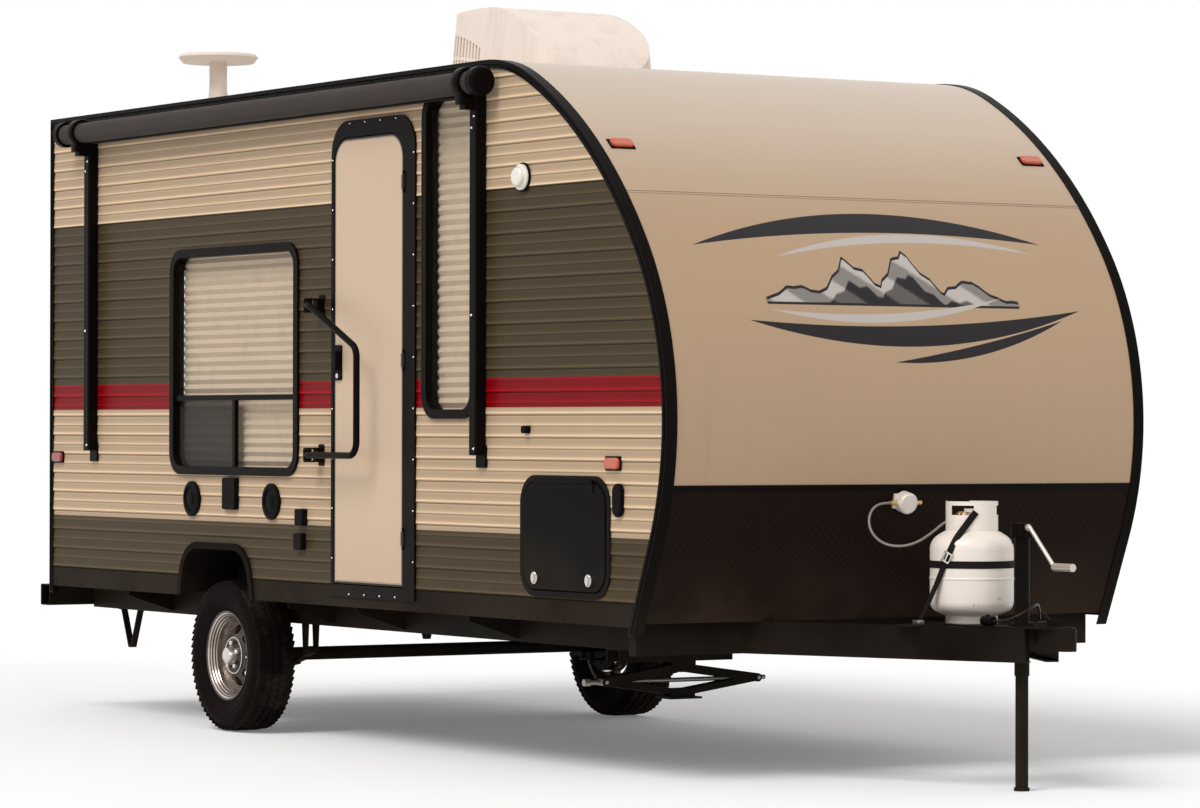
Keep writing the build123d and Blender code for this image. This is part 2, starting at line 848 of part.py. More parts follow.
def wheel_disc():
    lip = rim_radius + 10
    half = rim_width / 2
    outer = [(lip, half + 4), (lip, half), (rim_radius + 1.6, half - 4), (rim_radius + 1.6, half - 14),
             (rim_radius - 22, half - 24), (rim_radius - 22, -half + 24), (rim_radius + 1.6, -half + 14),
             (rim_radius + 1.6, -half + 4), (lip, -half), (lip, -half - 4)]
    inner = [(rim_radius - 4, -half - 1), (rim_radius - 28, -half + 18), (rim_radius - 28, half - 30),
             (rim_radius - 10, half - 8), (lip - 5, half + 4)]
    barrel = make_face(Polyline(*outer, *inner, close=True))
    bore = hub_radius + running_gap
    face = Polyline((bore, 30), (bore, 40), (80, 44), (104, 30), (140, 8), (rim_radius - 28, 4),
                    (rim_radius - 28, -6), (136, -2), (98, 20), (76, 34), close=True)
    return barrel, make_face(face)


def build_wheels():
    tyre = revolve(Plane.XZ * tyre_profile(), Axis.Z)
    barrel, face = wheel_disc()
    rim = revolve(Plane.XZ * barrel, Axis.Z)
    disc = revolve(Plane.XZ * face, Axis.Z)
    slot = extrude(Pos(118, 0) * Rot(0, 0, 90) * Trapezoid(58, 44, 76), 60, both=True)
    slot = fillet(slot.edges().filter_by(Axis.Z), 8)
    for i in range(8):
        disc -= Rot(0, 0, 45 * i) * slot
    stud = Pos(57, 0, 41) * Cylinder(9, 22)
    for i in range(5):
        disc += Rot(0, 0, 72 * i + 18) * stud
    wheel = rim + disc
    drum = Cylinder(drum_radius, drum_width) - Pos(0, 0, -8) * Cylinder(drum_radius - 8, drum_width)
    drum = Pos(0, 0, -58) * drum
    hub = Pos(0, 0, 3) * Cylinder(hub_radius, 75) + Pos(0, 0, 24) * Cylinder(hub_radius + 28, 11.4)
    cap_face = Polyline((0, 40.5), (hub_radius, 40.5), (hub_radius, 66), (34, 84), (24, 90), (0, 90),
                        close=True)
    cap = revolve(Plane.XZ * make_face(cap_face), Axis.Z)
    plate = Pos(0, 0, -32) * Cylinder(drum_radius - 7, 8)
    core = drum + hub + cap + plate
    core -= Pos(0, 0, -30) * Cylinder(spindle_radius + running_gap, 120)
    for side, sign in (("right", -1), ("left", 1)):
        place = Pos(axle_x, sign * half_track, tyre_radius) * Rot(sign * -90, 0, 0)
        add("tyre_" + side, place * tyre)
        add("rim_" + side, place * wheel)
        add("hub_" + side, place * core)


def build_axle():
    beam_end = half_track - 58 - drum_width / 2 - 14
    axle = rod((axle_x, -beam_end, tyre_radius), (axle_x, beam_end, tyre_radius), axle_radius)
    spindle_end = half_track + 22
    axle += rod((axle_x, -spindle_end, tyre_radius), (axle_x, spindle_end, tyre_radius), spindle_radius)
    for sign in (-1, 1):
        plate_y = sign * (beam_end - 4)
        axle += rod((axle_x, plate_y - 3, tyre_radius), (axle_x, plate_y + 3, tyre_radius), drum_radius - 6)
    add("axle", axle)


# Leaf springs slung under the axle, their eyes hung from the rails
def leaf(half, level, lift):
    rise = spring_rise * (half / spring_half_length) ** 2
    lower = tyre_radius - axle_radius - level
    top = ThreePointArc((-half, lower + rise), (0, lower), (half, lower + rise))
    low = ThreePointArc((half, lower + rise - lift), (0, lower - lift), (-half, lower + rise - lift))
    left_end = Line(low @ 1, top @ 0)
    right_end = Line(top @ 1, low @ 0)
    return Pos(axle_x, 0) * make_face([top, right_end, low, left_end])


def build_springs():
    y_low = rail_centre - leaf_width / 2
    y_high = rail_centre + leaf_width / 2
    pack = None
    for i in range(leaf_count):
        half = spring_half_length * (1 - 0.2 * i)
        strip = along_y(leaf(half, i * leaf_thickness, leaf_thickness), y_low, y_high)
        pack = strip if pack is None else pack + strip
    eye_z = tyre_radius - axle_radius + spring_rise + eye_radius - leaf_thickness
    hangers = []
    for sign in (-1, 1):
        x = axle_x + sign * spring_half_length
        pack += rod((x, y_low, eye_z), (x, y_high, eye_z), eye_radius)
        pack -= rod((x, y_low - 1, eye_z), (x, y_high + 1, eye_z), eye_bore)
        cheek_gap = leaf_width / 2 + 1
        drop_to = eye_z if sign > 0 else eye_z + shackle_length
        pin_x = x if sign > 0 else x - 12
        cheeks = []
        for side in (-1, 1):
            y0 = rail_centre + side * cheek_gap
            y1 = y0 + side * 5
            profile = Polyline((pin_x - hanger_width / 2, rail_bottom), (pin_x + hanger_width / 2, rail_bottom),
                               (pin_x + 20, drop_to - 18), (pin_x - 20, drop_to - 18), close=True)
            cheeks.append(along_y(make_face(profile), min(y0, y1), max(y0, y1)))
        bolt = rod((pin_x, rail_centre - cheek_gap - 14, drop_to), (pin_x, rail_centre + cheek_gap + 14, drop_to),
                   eye_bore - 0.4)
        hanger = cheeks[0] + cheeks[1] + bolt
        if sign < 0:
            shackle_bolt = rod((x, rail_centre - cheek_gap - 14, eye_z), (x, rail_centre + cheek_gap + 14, eye_z),
                               eye_bore - 0.4)
            hanger += shackle_bolt
            for side in (-1, 1):
                y0 = rail_centre + side * (cheek_gap + 5)
                start = (pin_x, y0, drop_to)
                hanger += rod(start, (pin_x, y0 + side * 6, drop_to), 14)
                hanger += rod((x, y0, eye_z), (x, y0 + side * 6, eye_z), 14)
                strap = Polyline((pin_x - 14, drop_to), (pin_x + 14, drop_to), (x + 14, eye_z), (x - 14, eye_z),
                                 close=True)
                hanger += along_y(make_face(strap), min(y0, y0 + side * 6), max(y0, y0 + side * 6))
        hangers.append(hanger)
    add("leaf_springs", *both_sides(pack))
    bottom = tyre_radius - axle_radius - leaf_count * leaf_thickness
    clamps = []
    plate = block(axle_x - 58, axle_x + 58, y_low - 18, y_high + 18, bottom - 8, bottom)
    for x in (axle_x - axle_radius - 6, axle_x + axle_radius + 6):
        for y in (y_low - 7, y_high + 7):
            plate += rod((x, y, bottom - 26), (x, y, tyre_radius), 5)
    for y in (y_low - 7, y_high + 7):
        ring = Pos(axle_x, tyre_radius) * (Circle(axle_radius + 11) - Circle(axle_radius + 0.6))
        ring &= Pos(axle_x, tyre_radius + 50) * Rectangle(200, 100)
        plate += along_y(ring, y - 5, y + 5)
    add("spring_fittings", *hangers, *[mirrored(h) for h in hangers], *both_sides(plate))


# Awning, its arms and the drip rail
def build_awning():
    centre_y = -half_width - awning_out
    roll = rod((awning_rear + running_gap, centre_y, awning_height),
               (awning_front - running_gap, centre_y, awning_height), awning_radius)
    add("awning_roll", roll)
    caps = []
    for x, way in ((awning_rear, -1), (awning_front, 1)):
        cap = rod((x, centre_y, awning_height), (x + way * awning_cap_length, centre_y, awning_height),
                  awning_cap_radius)
        end = cap.faces().sort_by(Axis.X)[-1 if way > 0 else 0]
        cap = fillet(end.edges(), 14)
        caps.append(cap)
    arms = []
    face_y = -half_width
    for x in awning_arm_places:
        section = RectangleRounded(awning_arm_width, awning_arm_depth, 8)
        section = Pos(x, face_y - awning_arm_depth / 2) * section
        arm_top = awning_height - awning_radius - 4
        arm = extrude(Plane.XY.offset(awning_arm_bottom) * section, arm_top - awning_arm_bottom)
        head = block(x - 22, x + 22, centre_y - 20, face_y, awning_height - awning_radius - 60,
                     awning_height - awning_radius - 0.2)
        foot = block(x - 36, x + 36, face_y - 10, face_y, awning_arm_bottom - 50, awning_arm_bottom + 40)
        arms.append(arm + head + foot)
    lip_y = centre_y + math.sqrt(awning_radius ** 2 - awning_lip ** 2)
    lip_z = awning_height + awning_lip
    rail_face = [(-half_width, awning_height + 10), (-half_width, lip_z + 2),
                 (-half_width - 12, lip_z + 2), (lip_y, lip_z + 4),
                 (lip_y, lip_z), (-half_width - 8, awning_height + 30),
                 (-half_width - 8, awning_height + 10)]
    rail = along_x(make_face(Polyline(*rail_face, close=True)), awning_rear + 10, awning_front - 140)
    add("awning_hardware", *caps, *arms, rail)


# Roof equipment
def conditioner_plan(inset):
    middle = conditioner_rear + conditioner_length / 2
    size = (conditioner_length - 2 * inset, conditioner_width - 2 * inset)
    plan = RectangleRounded(*size, conditioner_corner - inset)
    return extrude(Plane.XY.offset(roof_height) * Pos(middle, 0) * plan, conditioner_height + 100, taper=5)


def build_conditioner():
    rear = conditioner_rear
    front = rear + conditioner_length
    top = roof_height + conditioner_height
    brow = (rear + 430, top)
    end = (front, roof_height + 70)
    edges = [
        Line((rear, roof_height), (rear, top - 130)),
        ThreePointArc((rear, top - 130), (rear + 40, top - 42), (rear + 130, top - 6)),
        ThreePointArc((rear + 130, top - 6), (rear + 280, top + 1), brow),
        ThreePointArc(brow, (rear + 730, top - 90), end),
        Line(end, (front, roof_height)),
        Line((front, roof_height), (rear, roof_height)),
    ]
    side = along_y(make_face(edges), -conditioner_width, conditioner_width)
    shroud = conditioner_plan(0) & side
    core = conditioner_plan(grille_slot)
    for i in range(grille_count):
        x = rear + 34 + grille_pitch * i
        high = top - 96 - 90 * (i / grille_count) ** 2
        middle = (roof_height + 70 + high) / 2
        for low, up in ((roof_height + 70, middle - 7), (middle + 7, high)):
            slot = block(x - grille_slot / 2, x + grille_slot / 2, -conditioner_width, conditioner_width,
                         low, up)
            shroud -= slot - core
    add("air_conditioner", shroud)


def build_roof_equipment():
    disc_low = antenna_height - antenna_disc_height
    disc = Polyline((0, disc_low), (antenna_disc_radius - 20, disc_low),
                    (antenna_disc_radius, antenna_height - 20), (antenna_disc_radius - 10, antenna_height - 6),
                    (0, antenna_height), close=True)
    stem = Polyline((0, 0), (80, 0), (80, 14), (antenna_mast_radius + 8, 60), (antenna_mast_radius, 120),
                    (antenna_mast_radius, antenna_height - antenna_disc_height), (0, antenna_height - antenna_disc_height),
                    close=True)
    antenna = turned(make_face(disc), (antenna_x, antenna_y, roof_height), (0, 0, 1))
    antenna += turned(make_face(stem), (antenna_x, antenna_y, roof_height), (0, 0, 1))
    half = vent_size / 2
    curb = block(vent_x - half, vent_x + half, -half, half, roof_height, roof_height + 30)
    lid = block(vent_x - half + 15, vent_x + half - 15, -half + 15, half - 15,
                roof_height + 30, roof_height + vent_height)
    lid = fillet(lid.edges().filter_by(Axis.Z), 60)
    lid = fillet(lid.faces().sort_by(Axis.Z)[-1].edges(), 26)
    pipe = rod((plumbing_vent_x, 700, roof_height), (plumbing_vent_x, 700, roof_height + 110), 26)
    pipe += rod((plumbing_vent_x, 700, roof_height + 80), (plumbing_vent_x, 700, roof_height + 118), 48)
    add("roof_fittings", curb + lid, pipe, antenna)


# Gas bottle on the tongue: its domed end runs from the axis out to the wall
def bottle_dome(apex, way, dome_radius, knuckle_radius):
    reach = bottle_radius - knuckle_radius
    span = dome_radius - knuckle_radius
    turn = math.asin(reach / span)
    centre = apex - way * (dome_radius - span * math.cos(turn))
    bend = (turn + math.pi / 2) / 2

    def crown_point(angle):
        return dome_radius * math.sin(angle), apex - way * dome_radius * (1 - math.cos(angle))

    def knuckle_point(angle):
        return reach + knuckle_radius * math.sin(angle), centre + way * knuckle_radius * math.cos(angle)

    meet = crown_point(turn)
    end = (bottle_radius, centre)
    crown = ThreePointArc((0, apex), crown_point(turn / 2), meet)
    knuckle = ThreePointArc(meet, knuckle_point(bend), end)
    return (crown, knuckle), end


def build_gas():
    low = rail_top + tray_thickness
    tray = block(bottle_x - tray_length / 2, bottle_x + tray_length / 2, -tray_width / 2, tray_width / 2,
                 rail_top, low)
    wide, span = tray_wings
    wing = block(bottle_x - wide / 2, bottle_x + wide / 2, -span / 2, span / 2, rail_top, low)
    gas_fittings = [tray + wing]
    top_edges, top_end = bottle_dome(bottle_apex, 1, bottle_crown, bottle_knuckle)
    low_edges, low_end = bottle_dome(low + 10, -1, bottle_base_crown, bottle_base_knuckle)
    wall_line = Line(top_end, low_end)
    axis_line = Line((0, low + 10), (0, bottle_apex))
    body = turned(make_face([*top_edges, wall_line, *low_edges, axis_line]), (bottle_x, 0, 0), (0, 0, 1))
    ring = Circle(collar_radius) - Circle(collar_radius - collar_wall)
    body += extrude(Plane.XY.offset(low) * Pos(bottle_x, 0) * ring, foot_ring_height)
    body += rod((bottle_x, 0, bottle_shoulder), (bottle_x, 0, bottle_shoulder + 78), 16)
    body += rod((bottle_x - 46, 0, bottle_shoulder + 62), (bottle_x, 0, bottle_shoulder + 62), valve_radius)
    body += rod((bottle_x, 0, bottle_shoulder + 78), (bottle_x, 0, bottle_shoulder + 92), 30)
    add("gas_bottle", body)
    band = Circle(bottle_radius + strap_thickness) - Circle(bottle_radius)
    add("bottle_strap", extrude(Plane.XY.offset(strap_height) * Pos(bottle_x, 0) * band, strap_width))
    collar_low = bottle_shoulder
    band = Circle(collar_radius) - Circle(collar_radius - collar_wall)
    collar = extrude(Plane.XY.offset(collar_low) * Pos(bottle_x, 0) * band, collar_top - collar_low)
    window_low = (collar_low + collar_top) / 2 + 8
    for angle in (0, 120, 240):
        cut = Rot(0, 0, angle + 60) * block(40, 140, -46, 46, window_low, collar_top - 16)
        collar -= Pos(bottle_x, 0, 0) * cut
    mouth = Rot(0, 0, 180) * block(40, 140, -52, 52, collar_low + 10, collar_top + 10)
    collar -= Pos(bottle_x, 0, 0) * mouth
    collar -= body
    add("bottle_collar", collar)
    plane = nose_plane(chin_angle(regulator_height), regulator_y)
    plate = extrude(plane.offset(-6) * RectangleRounded(96, 60, 10), 12)
    dial = extrude(plane.offset(6) * Circle(regulator_radius), regulator_depth)
    dial = fillet(dial.edges().filter_by(GeomType.CIRCLE).sort_by(Axis.X)[-1], 10)
    axis_point = plane.offset(6 + regulator_depth / 2).origin
    port = rod((axis_point.X, axis_point.Y + 70, axis_point.Z), (axis_point.X, hose_start_y, axis_point.Z), 9)
    gas_fittings.append((plate + dial + port) - parts["nose_lower"])
    add("gas_fittings", *gas_fittings)
    return axis_point


# Cords: straight runs joined by tangent arcs
def cord(name, points, radius):
    radii = []
    for before, here, after in zip(points, points[1:], points[2:]):
        first = Vector(*here) - Vector(*before)
        second = Vector(*after) - Vector(*here)
        turn = math.radians(first.get_angle(second))
        radii.append(0.45 * min(first.length, second.length) / math.tan(turn / 2))
    path = FilletPolyline(*points, radius=radii)
    tube = sweep(Plane(origin=path @ 0, z_dir=path % 0) * Circle(radius), path)
    section = math.pi * radius ** 2
    add(name, tube)
    print(name, "length", round(path.length), "radii", [round(r) for r in radii],
          "volume ratio", round(tube.volume / (section * path.length), 4))


def build_cords(port):
    valve_x = bottle_x - 46
    valve_z = bottle_shoulder + 62
    x = port.X
    z = port.Z
    hose = [(x, hose_start_y, z), (x, hose_start_y - 46, z), (x + 8, hose_start_y - 92, z - 20),
            (x + 21, hose_start_y - 120, z - 58), (x + 43, hose_start_y - 128, z - 103),
            (x + 75, hose_start_y - 114, z - 142), (x + 115, hose_start_y - 86, z - 163),
            (x + 161, hose_start_y - 50, z - 164), (x + 204, hose_start_y - 13, z - 146),
            (x + 240, hose_start_y + 25, z - 110), (valve_x - 80, -36, valve_z - 24),
            (valve_x - 40, 0, valve_z), (valve_x, 0, valve_z)]
    cord("gas_hose", hose, hose_radius)
    gland = nose_foot(gland_height, gland_y)
    sleeve = extrude(gland.offset(-4) * Circle(16), 26) - parts["nose_lower"]
    start = gland.offset(22).origin
    way = gland.z_dir
    second = start + way * 50
    plug_height = rail_top + coupler_plate + plug_radius + 0.3
    cable = [tuple(start), tuple(second), (5350, 478, 634), (5430, 438, 623), (5530, 392, 621.5),
             (5640, 342, 623), (5740, 294, 630), (5827, 254, 634), (5912, 214, 630), (5996, 176, 629),
             (6064, 142, 638), (6112, 106, 664), (6152, 70, 692), (6192, 32, 704), (6222, -10, 696),
             (6228, -56, 674), (6202, -92, 652), (6154, -108, plug_height), (6106, -108, plug_height)]
    cord("wiring_cable", cable, cable_radius)
    wall_fittings.append(sleeve)
    end = cable[-1]
    plug = rod(end, (end[0] - plug_length, end[1], end[2]), plug_radius)
    plug += rod((end[0] - plug_length, end[1], end[2]), (end[0] - plug_length - 6, end[1], end[2]),
                plug_radius - 5)
    collar = block(end[0] - 40, end[0] - 30, end[1] - 6, end[1] + 6, end[2], end[2] + plug_radius + 6)
    add("wiring_plug", plug + collar)


def nose_foot(height, y):
    turn = crown_turn + brow_turn + chin_turn
    x, z, out = nose_point(turn)
    drop = z - height
    x -= drop * math.tan(math.radians(turn - 90))
    return Plane(origin=(x, y, height), x_dir=(0, 1, 0), z_dir=out)


# Scissor stabiliser: pins of its two halves in the folded position
def stabiliser_points():
    angle = math.radians(stabiliser_folded_angle)
    reach = stabiliser_arm * math.cos(angle)
    drop = stabiliser_arm * math.sin(angle)
    points = {}
    for side, way in (("outer", -1), ("inner", 1)):
        y = stabiliser_centre + way * stabiliser_pin_offset
        top = (stabiliser_x, y, stabiliser_pin_height)
        knee = (stabiliser_x, y + way * reach, stabiliser_pin_height - drop)
        foot = (stabiliser_x, y, stabiliser_pin_height - 2 * drop)
        points[side] = (top, knee, foot)
    return points


def crosswise_pin(point, half_length, radius):
    x, y, z = point
    return rod((x - half_length, y, z), (x + half_length, y, z), radius)


# Channel arm between two pins, with its web cut back for the knee
def channel_arm(pin, knee, width, height, web_up):
    start = Vector(*pin)
    reach = Vector(*knee) - start
    plane = Plane(origin=start, x_dir=reach, z_dir=(1, 0, 0))
    up = 1 if (plane.y_dir.Z > 0) == web_up else -1
    length = reach.length
    outline = Pos(length / 2, 0) * RectangleRounded(length + height, height, height / 2 - 0.1)
    arm = extrude(plane * outline, width / 2, both=True, dir=(1, 0, 0))
    hollow = Pos(length / 2, -up * channel_wall) * Rectangle(length + height + 2, height)
    arm -= extrude(plane * hollow, width / 2 - channel_wall, both=True, dir=(1, 0, 0))
    knee_room = Pos(length, 0) * Rectangle(2 * knee_cut_back, height + 2)
    arm -= extrude(plane * knee_room, width / 2 - channel_wall, both=True, dir=(1, 0, 0))
    bore = stabiliser_pin_radius + running_gap
    return arm - crosswise_pin(pin, width, bore) - crosswise_pin(knee, width, bore)


def build_stabiliser():
    points = stabiliser_points()
    x = stabiliser_x
    centre = stabiliser_centre
    z = stabiliser_pin_height
    half = channel_width / 2
    upper_gap = half + 1
    lower_width = channel_width - 2 * channel_wall - 2
    lower_height = channel_height - 8
    bracket_half = stabiliser_pin_offset + 22
    head = block(x - upper_gap - channel_wall, x + upper_gap + channel_wall, centre - bracket_half,
                 centre + bracket_half, z - 14, z + base_plate_height)
    head -= block(x - upper_gap, x + upper_gap, centre - bracket_half - 1, centre + bracket_half + 1,
                  z - 15, z + base_plate_height - channel_wall)
    for side in points:
        head += crosswise_pin(points[side][0], upper_gap + channel_wall + 3, stabiliser_pin_radius)
    beam_low = z + base_plate_height
    beam = block(x - 60, x + 40, -rail_outer, mount_inner_y, beam_low, rail_bottom)
    beam -= block(x - 54, x + 34, -rail_outer - 1, mount_inner_y + 1, beam_low - 1, rail_bottom - channel_wall)
    riser = block(x - 60, x - 36, mount_inner_y - 60, mount_inner_y, rail_bottom, rail_top - member_height)
    seat = block(x - 60, x + 40, centre - bracket_half, centre + bracket_half,
                 beam_low, beam_low + channel_wall)
    add("stabiliser_base", head + beam + riser + seat)
    for side, (top, knee, foot) in points.items():
        add("stabiliser_upper_" + side, channel_arm(top, knee, channel_width, channel_height, True))
        add("stabiliser_lower_" + side, channel_arm(foot, knee, lower_width, lower_height, False))
    foot_z = points["outer"][2][2]
    lower_gap = lower_width / 2 + 1
    shoe = block(x - lower_gap - channel_wall, x + lower_gap + channel_wall, centre - bracket_half,
                 centre + bracket_half, foot_z - foot_drop, foot_z + 12)
    shoe -= block(x - lower_gap, x + lower_gap, centre - bracket_half - 1, centre + bracket_half + 1,
                  foot_z - foot_drop + channel_wall, foot_z + 13)
    long, wide, thick = foot_plate
    shoe += block(x - wide / 2, x + wide / 2, centre - long / 2, centre + long / 2,
                  foot_z - foot_drop - thick, foot_z - foot_drop)
    for side in points:
        shoe += crosswise_pin(points[side][2], lower_gap + channel_wall + 2, stabiliser_pin_radius)
    add("stabiliser_foot", shoe)
    trunnion_half = lower_width / 2 - channel_wall - 1
    outer_knee = points["outer"][1]
    inner_knee = points["inner"][1]
    screw_z = outer_knee[2]
    screw = rod((x, outer_knee[1] - screw_outer_tail, screw_z), (x, inner_knee[1] + screw_inner_tail, screw_z),
                screw_radius)
    screw += crosswise_pin(outer_knee, trunnion_half, trunnion_radius)
    screw += crosswise_pin(outer_knee, half + 5, stabiliser_pin_radius)
    nut = along_y(Pos(x, screw_z) * RegularPolygon(15, 6), outer_knee[1] - screw_outer_tail - 26,
                  outer_knee[1] - screw_outer_tail)
    add("stabiliser_screw", screw + nut)
    block_nut = crosswise_pin(inner_knee, trunnion_half, trunnion_radius)
    block_nut += crosswise_pin(inner_knee, half + 5, stabiliser_pin_radius)
    bore = rod((x, inner_knee[1] - 40, screw_z), (x, inner_knee[1] + 40, screw_z), screw_radius + running_gap)
    add("stabiliser_nut", block_nut - bore)


# Lamps, speakers, boxes and access doors
def wall_plate(outline, depth, corner=0):
    return along_y(panel(outline, corner), -half_width - depth, -half_width)


def around(place, width, height):
    x, z = place
    return (x - width / 2, x + width / 2, z - height / 2, z + height / 2)


def soft_plate(outline, depth, corner, edge):
    plate = wall_plate(outline, depth, corner)
    return fillet(plate.faces().sort_by(Axis.Y)[0].edges(), edge)


def build_fittings():
    for x, z in speaker_places:
        dish = [(0, 0), (speaker_radius, 0), (speaker_radius, 9), (speaker_radius - 12, fitting_depth),
                (speaker_radius - 20, fitting_depth), (speaker_radius - 26, 7), (34, 10), (22, 15), (0, 17)]
        face = make_face(Polyline(*dish, close=True))
        place = Pos(x, -half_width, z) * Rot(90, 0, 0)
        wall_fittings.append(place * revolve(Plane.XZ * face, Axis.Z))
    wall_fittings.append(soft_plate(outlet_outline, 22, 14, 6))
    for place in small_boxes:
        wall_fittings.append(soft_plate(around(place, small_box_size, small_box_size), 26, 8, 6))
    wide, tall, deep = lock_size
    wall_fittings.append(soft_plate(around(lock_place, wide, tall), deep, 32, 7))
    wall_fittings.append(soft_plate(around(catch_place, 40, 30), 24, 8, 8))
    for outline, depth in ((fridge_vent, 16), (heater_door, 18), (furnace_vent, 24), (power_inlet, 30)):
        wall_fittings.append(mirrored(soft_plate(outline, depth, 12, 7)))
    add("wall_fittings", *wall_fittings)
    lamps = []
    wide, tall, deep = marker_size
    for place in side_markers:
        lamp = soft_plate(around(place, wide, tall), deep, 16, 8)
        lamps.extend(both_sides(lamp))
    for y in (-cap_marker_y, cap_marker_y):
        plane = nose_plane(cap_marker_turn, y)
        lens = extrude(plane.offset(-5) * RectangleRounded(wide, tall, 16), deep + 5)
        lens = fillet(lens.edges().sort_by(lambda e: e.center().X + e.center().Z)[-8:], 6)
        lamps.append(lens - parts["nose_cap"])
    x, z = porch_light_place
    ring = rod((x, -half_width, z), (x, -half_width - 16, z), porch_light_radius)
    dome = rod((x, -half_width - 16, z), (x, -half_width - 40, z), porch_light_radius - 12)
    dome = fillet(dome.faces().sort_by(Axis.Y)[0].edges(), 14)
    lamps.append(ring + dome)
    for y in (-tail_lamp_spread, tail_lamp_spread):
        lens = along_x(tail_lamp_face(y), -tail_lamp_depth, 0)
        lamps.append(fillet(lens.faces().sort_by(Axis.X)[0].edges(), 10))
    add("lamps", *lamps)


build_shell()
build_wells()
build_windows()
build_entry()
build_handle()
baggage_pin_y, baggage_pin_z = build_baggage()
build_chassis()
socket_x = build_coupler()
build_jack()
build_wheels()
build_axle()
build_springs()
build_awning()
build_conditioner()
build_roof_equipment()
regulator_port = build_gas()
build_cords(regulator_port)
build_stabiliser()
build_fittings()

everything = Compound(children=[s for p in parts.values() for s in p.solids()])
box = everything.bounding_box()
origin = Vector((box.min.X + box.max.X) / 2, (box.min.Y + box.max.Y) / 2, box.min.Z)
os.makedirs("parts", exist_ok=True)
for name, shape in parts.items():
    export_step(Pos(-origin.X, -origin.Y, -origin.Z) * shape, "parts/" + name + ".step")
print("origin", origin, "size", box.size)
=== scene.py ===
import math
import bmesh
import bpy
from mathutils import Matrix, Vector


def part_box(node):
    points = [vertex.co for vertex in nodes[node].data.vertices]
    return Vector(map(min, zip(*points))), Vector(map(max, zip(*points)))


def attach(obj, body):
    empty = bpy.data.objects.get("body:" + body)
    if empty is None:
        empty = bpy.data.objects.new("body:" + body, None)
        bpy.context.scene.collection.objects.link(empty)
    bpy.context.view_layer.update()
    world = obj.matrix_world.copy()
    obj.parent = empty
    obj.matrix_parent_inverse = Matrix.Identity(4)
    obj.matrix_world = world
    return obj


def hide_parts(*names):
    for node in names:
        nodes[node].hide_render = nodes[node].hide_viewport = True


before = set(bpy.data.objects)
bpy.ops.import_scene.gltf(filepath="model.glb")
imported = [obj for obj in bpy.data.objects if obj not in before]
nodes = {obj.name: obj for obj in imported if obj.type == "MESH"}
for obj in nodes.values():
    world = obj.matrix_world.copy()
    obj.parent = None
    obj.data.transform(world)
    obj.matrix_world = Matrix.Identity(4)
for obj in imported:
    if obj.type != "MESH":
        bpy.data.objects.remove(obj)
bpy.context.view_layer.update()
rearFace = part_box("wall_rear")[0].x
centreLine = (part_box("wall_left")[1].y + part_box("wall_right")[0].y) / 2
print("frame loaded with", len(nodes), "nodes")


def at(x, y, z):  # millimetres from the rear face, the middle and the ground
    return Vector((rearFace + x / 1000, centreLine + y / 1000, z / 1000))


# camera, lamps and floor
view = {
    "place": (19198.8, -10069.5, 1358.8),
    "yaw": 2.5812,
    "pitch": 0.0056,
    "roll": 0.002,
    "lens": 130.92,
}
light = {
    "sky": 0.5,
    "keyStrength": 1.7,
    "keyFrom": (0.35, -1.0, 1.25),
    "noseStrength": 0.42,
    "noseFrom": (1.0, -0.1, 0.55),
    "softness": 28,
    "floor": (0.9, 0.9, 0.9, 1),
    "floorGlow": 0.14,
}


def stand(point, across, up, out):  # puts a shape's own axes at a point
    return Matrix.Translation(point) @ Matrix((across, up, out)).transposed().to_4x4()


def addCamera():
    turn, lift = view["yaw"], view["pitch"]
    ahead = Vector((math.cos(lift) * math.cos(turn), math.cos(lift) * math.sin(turn), math.sin(lift)))
    right = Vector((math.sin(turn), -math.cos(turn), 0))
    up = right.cross(ahead)
    tilt = view["roll"]
    side = right * math.cos(tilt) + up * math.sin(tilt)
    up = up * math.cos(tilt) - right * math.sin(tilt)
    lens = bpy.data.cameras.new("camera")
    lens.lens = view["lens"]
    lens.sensor_width = 36
    lens.clip_end = 200
    eye = bpy.data.objects.new("camera", lens)
    eye.matrix_world = stand(at(*view["place"]), side, up, -ahead)
    bpy.context.scene.collection.objects.link(eye)
    bpy.context.scene.camera = eye


addCamera()
print("camera placed")


# finishes: sockets wrapped so that shader maths reads as sums
class Wire:
    def __init__(self, finish, socket):
        self.finish = finish
        self.socket = socket

    def __add__(self, other):
        return self.finish.maths("ADD", self, other)

    __radd__ = __add__

    def __sub__(self, other):
        return self.finish.maths("SUBTRACT", self, other)

    def __rsub__(self, other):
        return self.finish.maths("SUBTRACT", other, self)

    def __mul__(self, other):
        return self.finish.maths("MULTIPLY", self, other)

    __rmul__ = __mul__

    def __truediv__(self, other):
        return self.finish.maths("DIVIDE", self, other)

    def __rtruediv__(self, other):
        return self.finish.maths("DIVIDE", other, self)


def paint(*screen):  # screen values to the shader's own scale
    return tuple((c / 255 / 12.92 if c < 11 else ((c / 255 + 0.055) / 1.055) ** 2.4) for c in screen) + (1,)


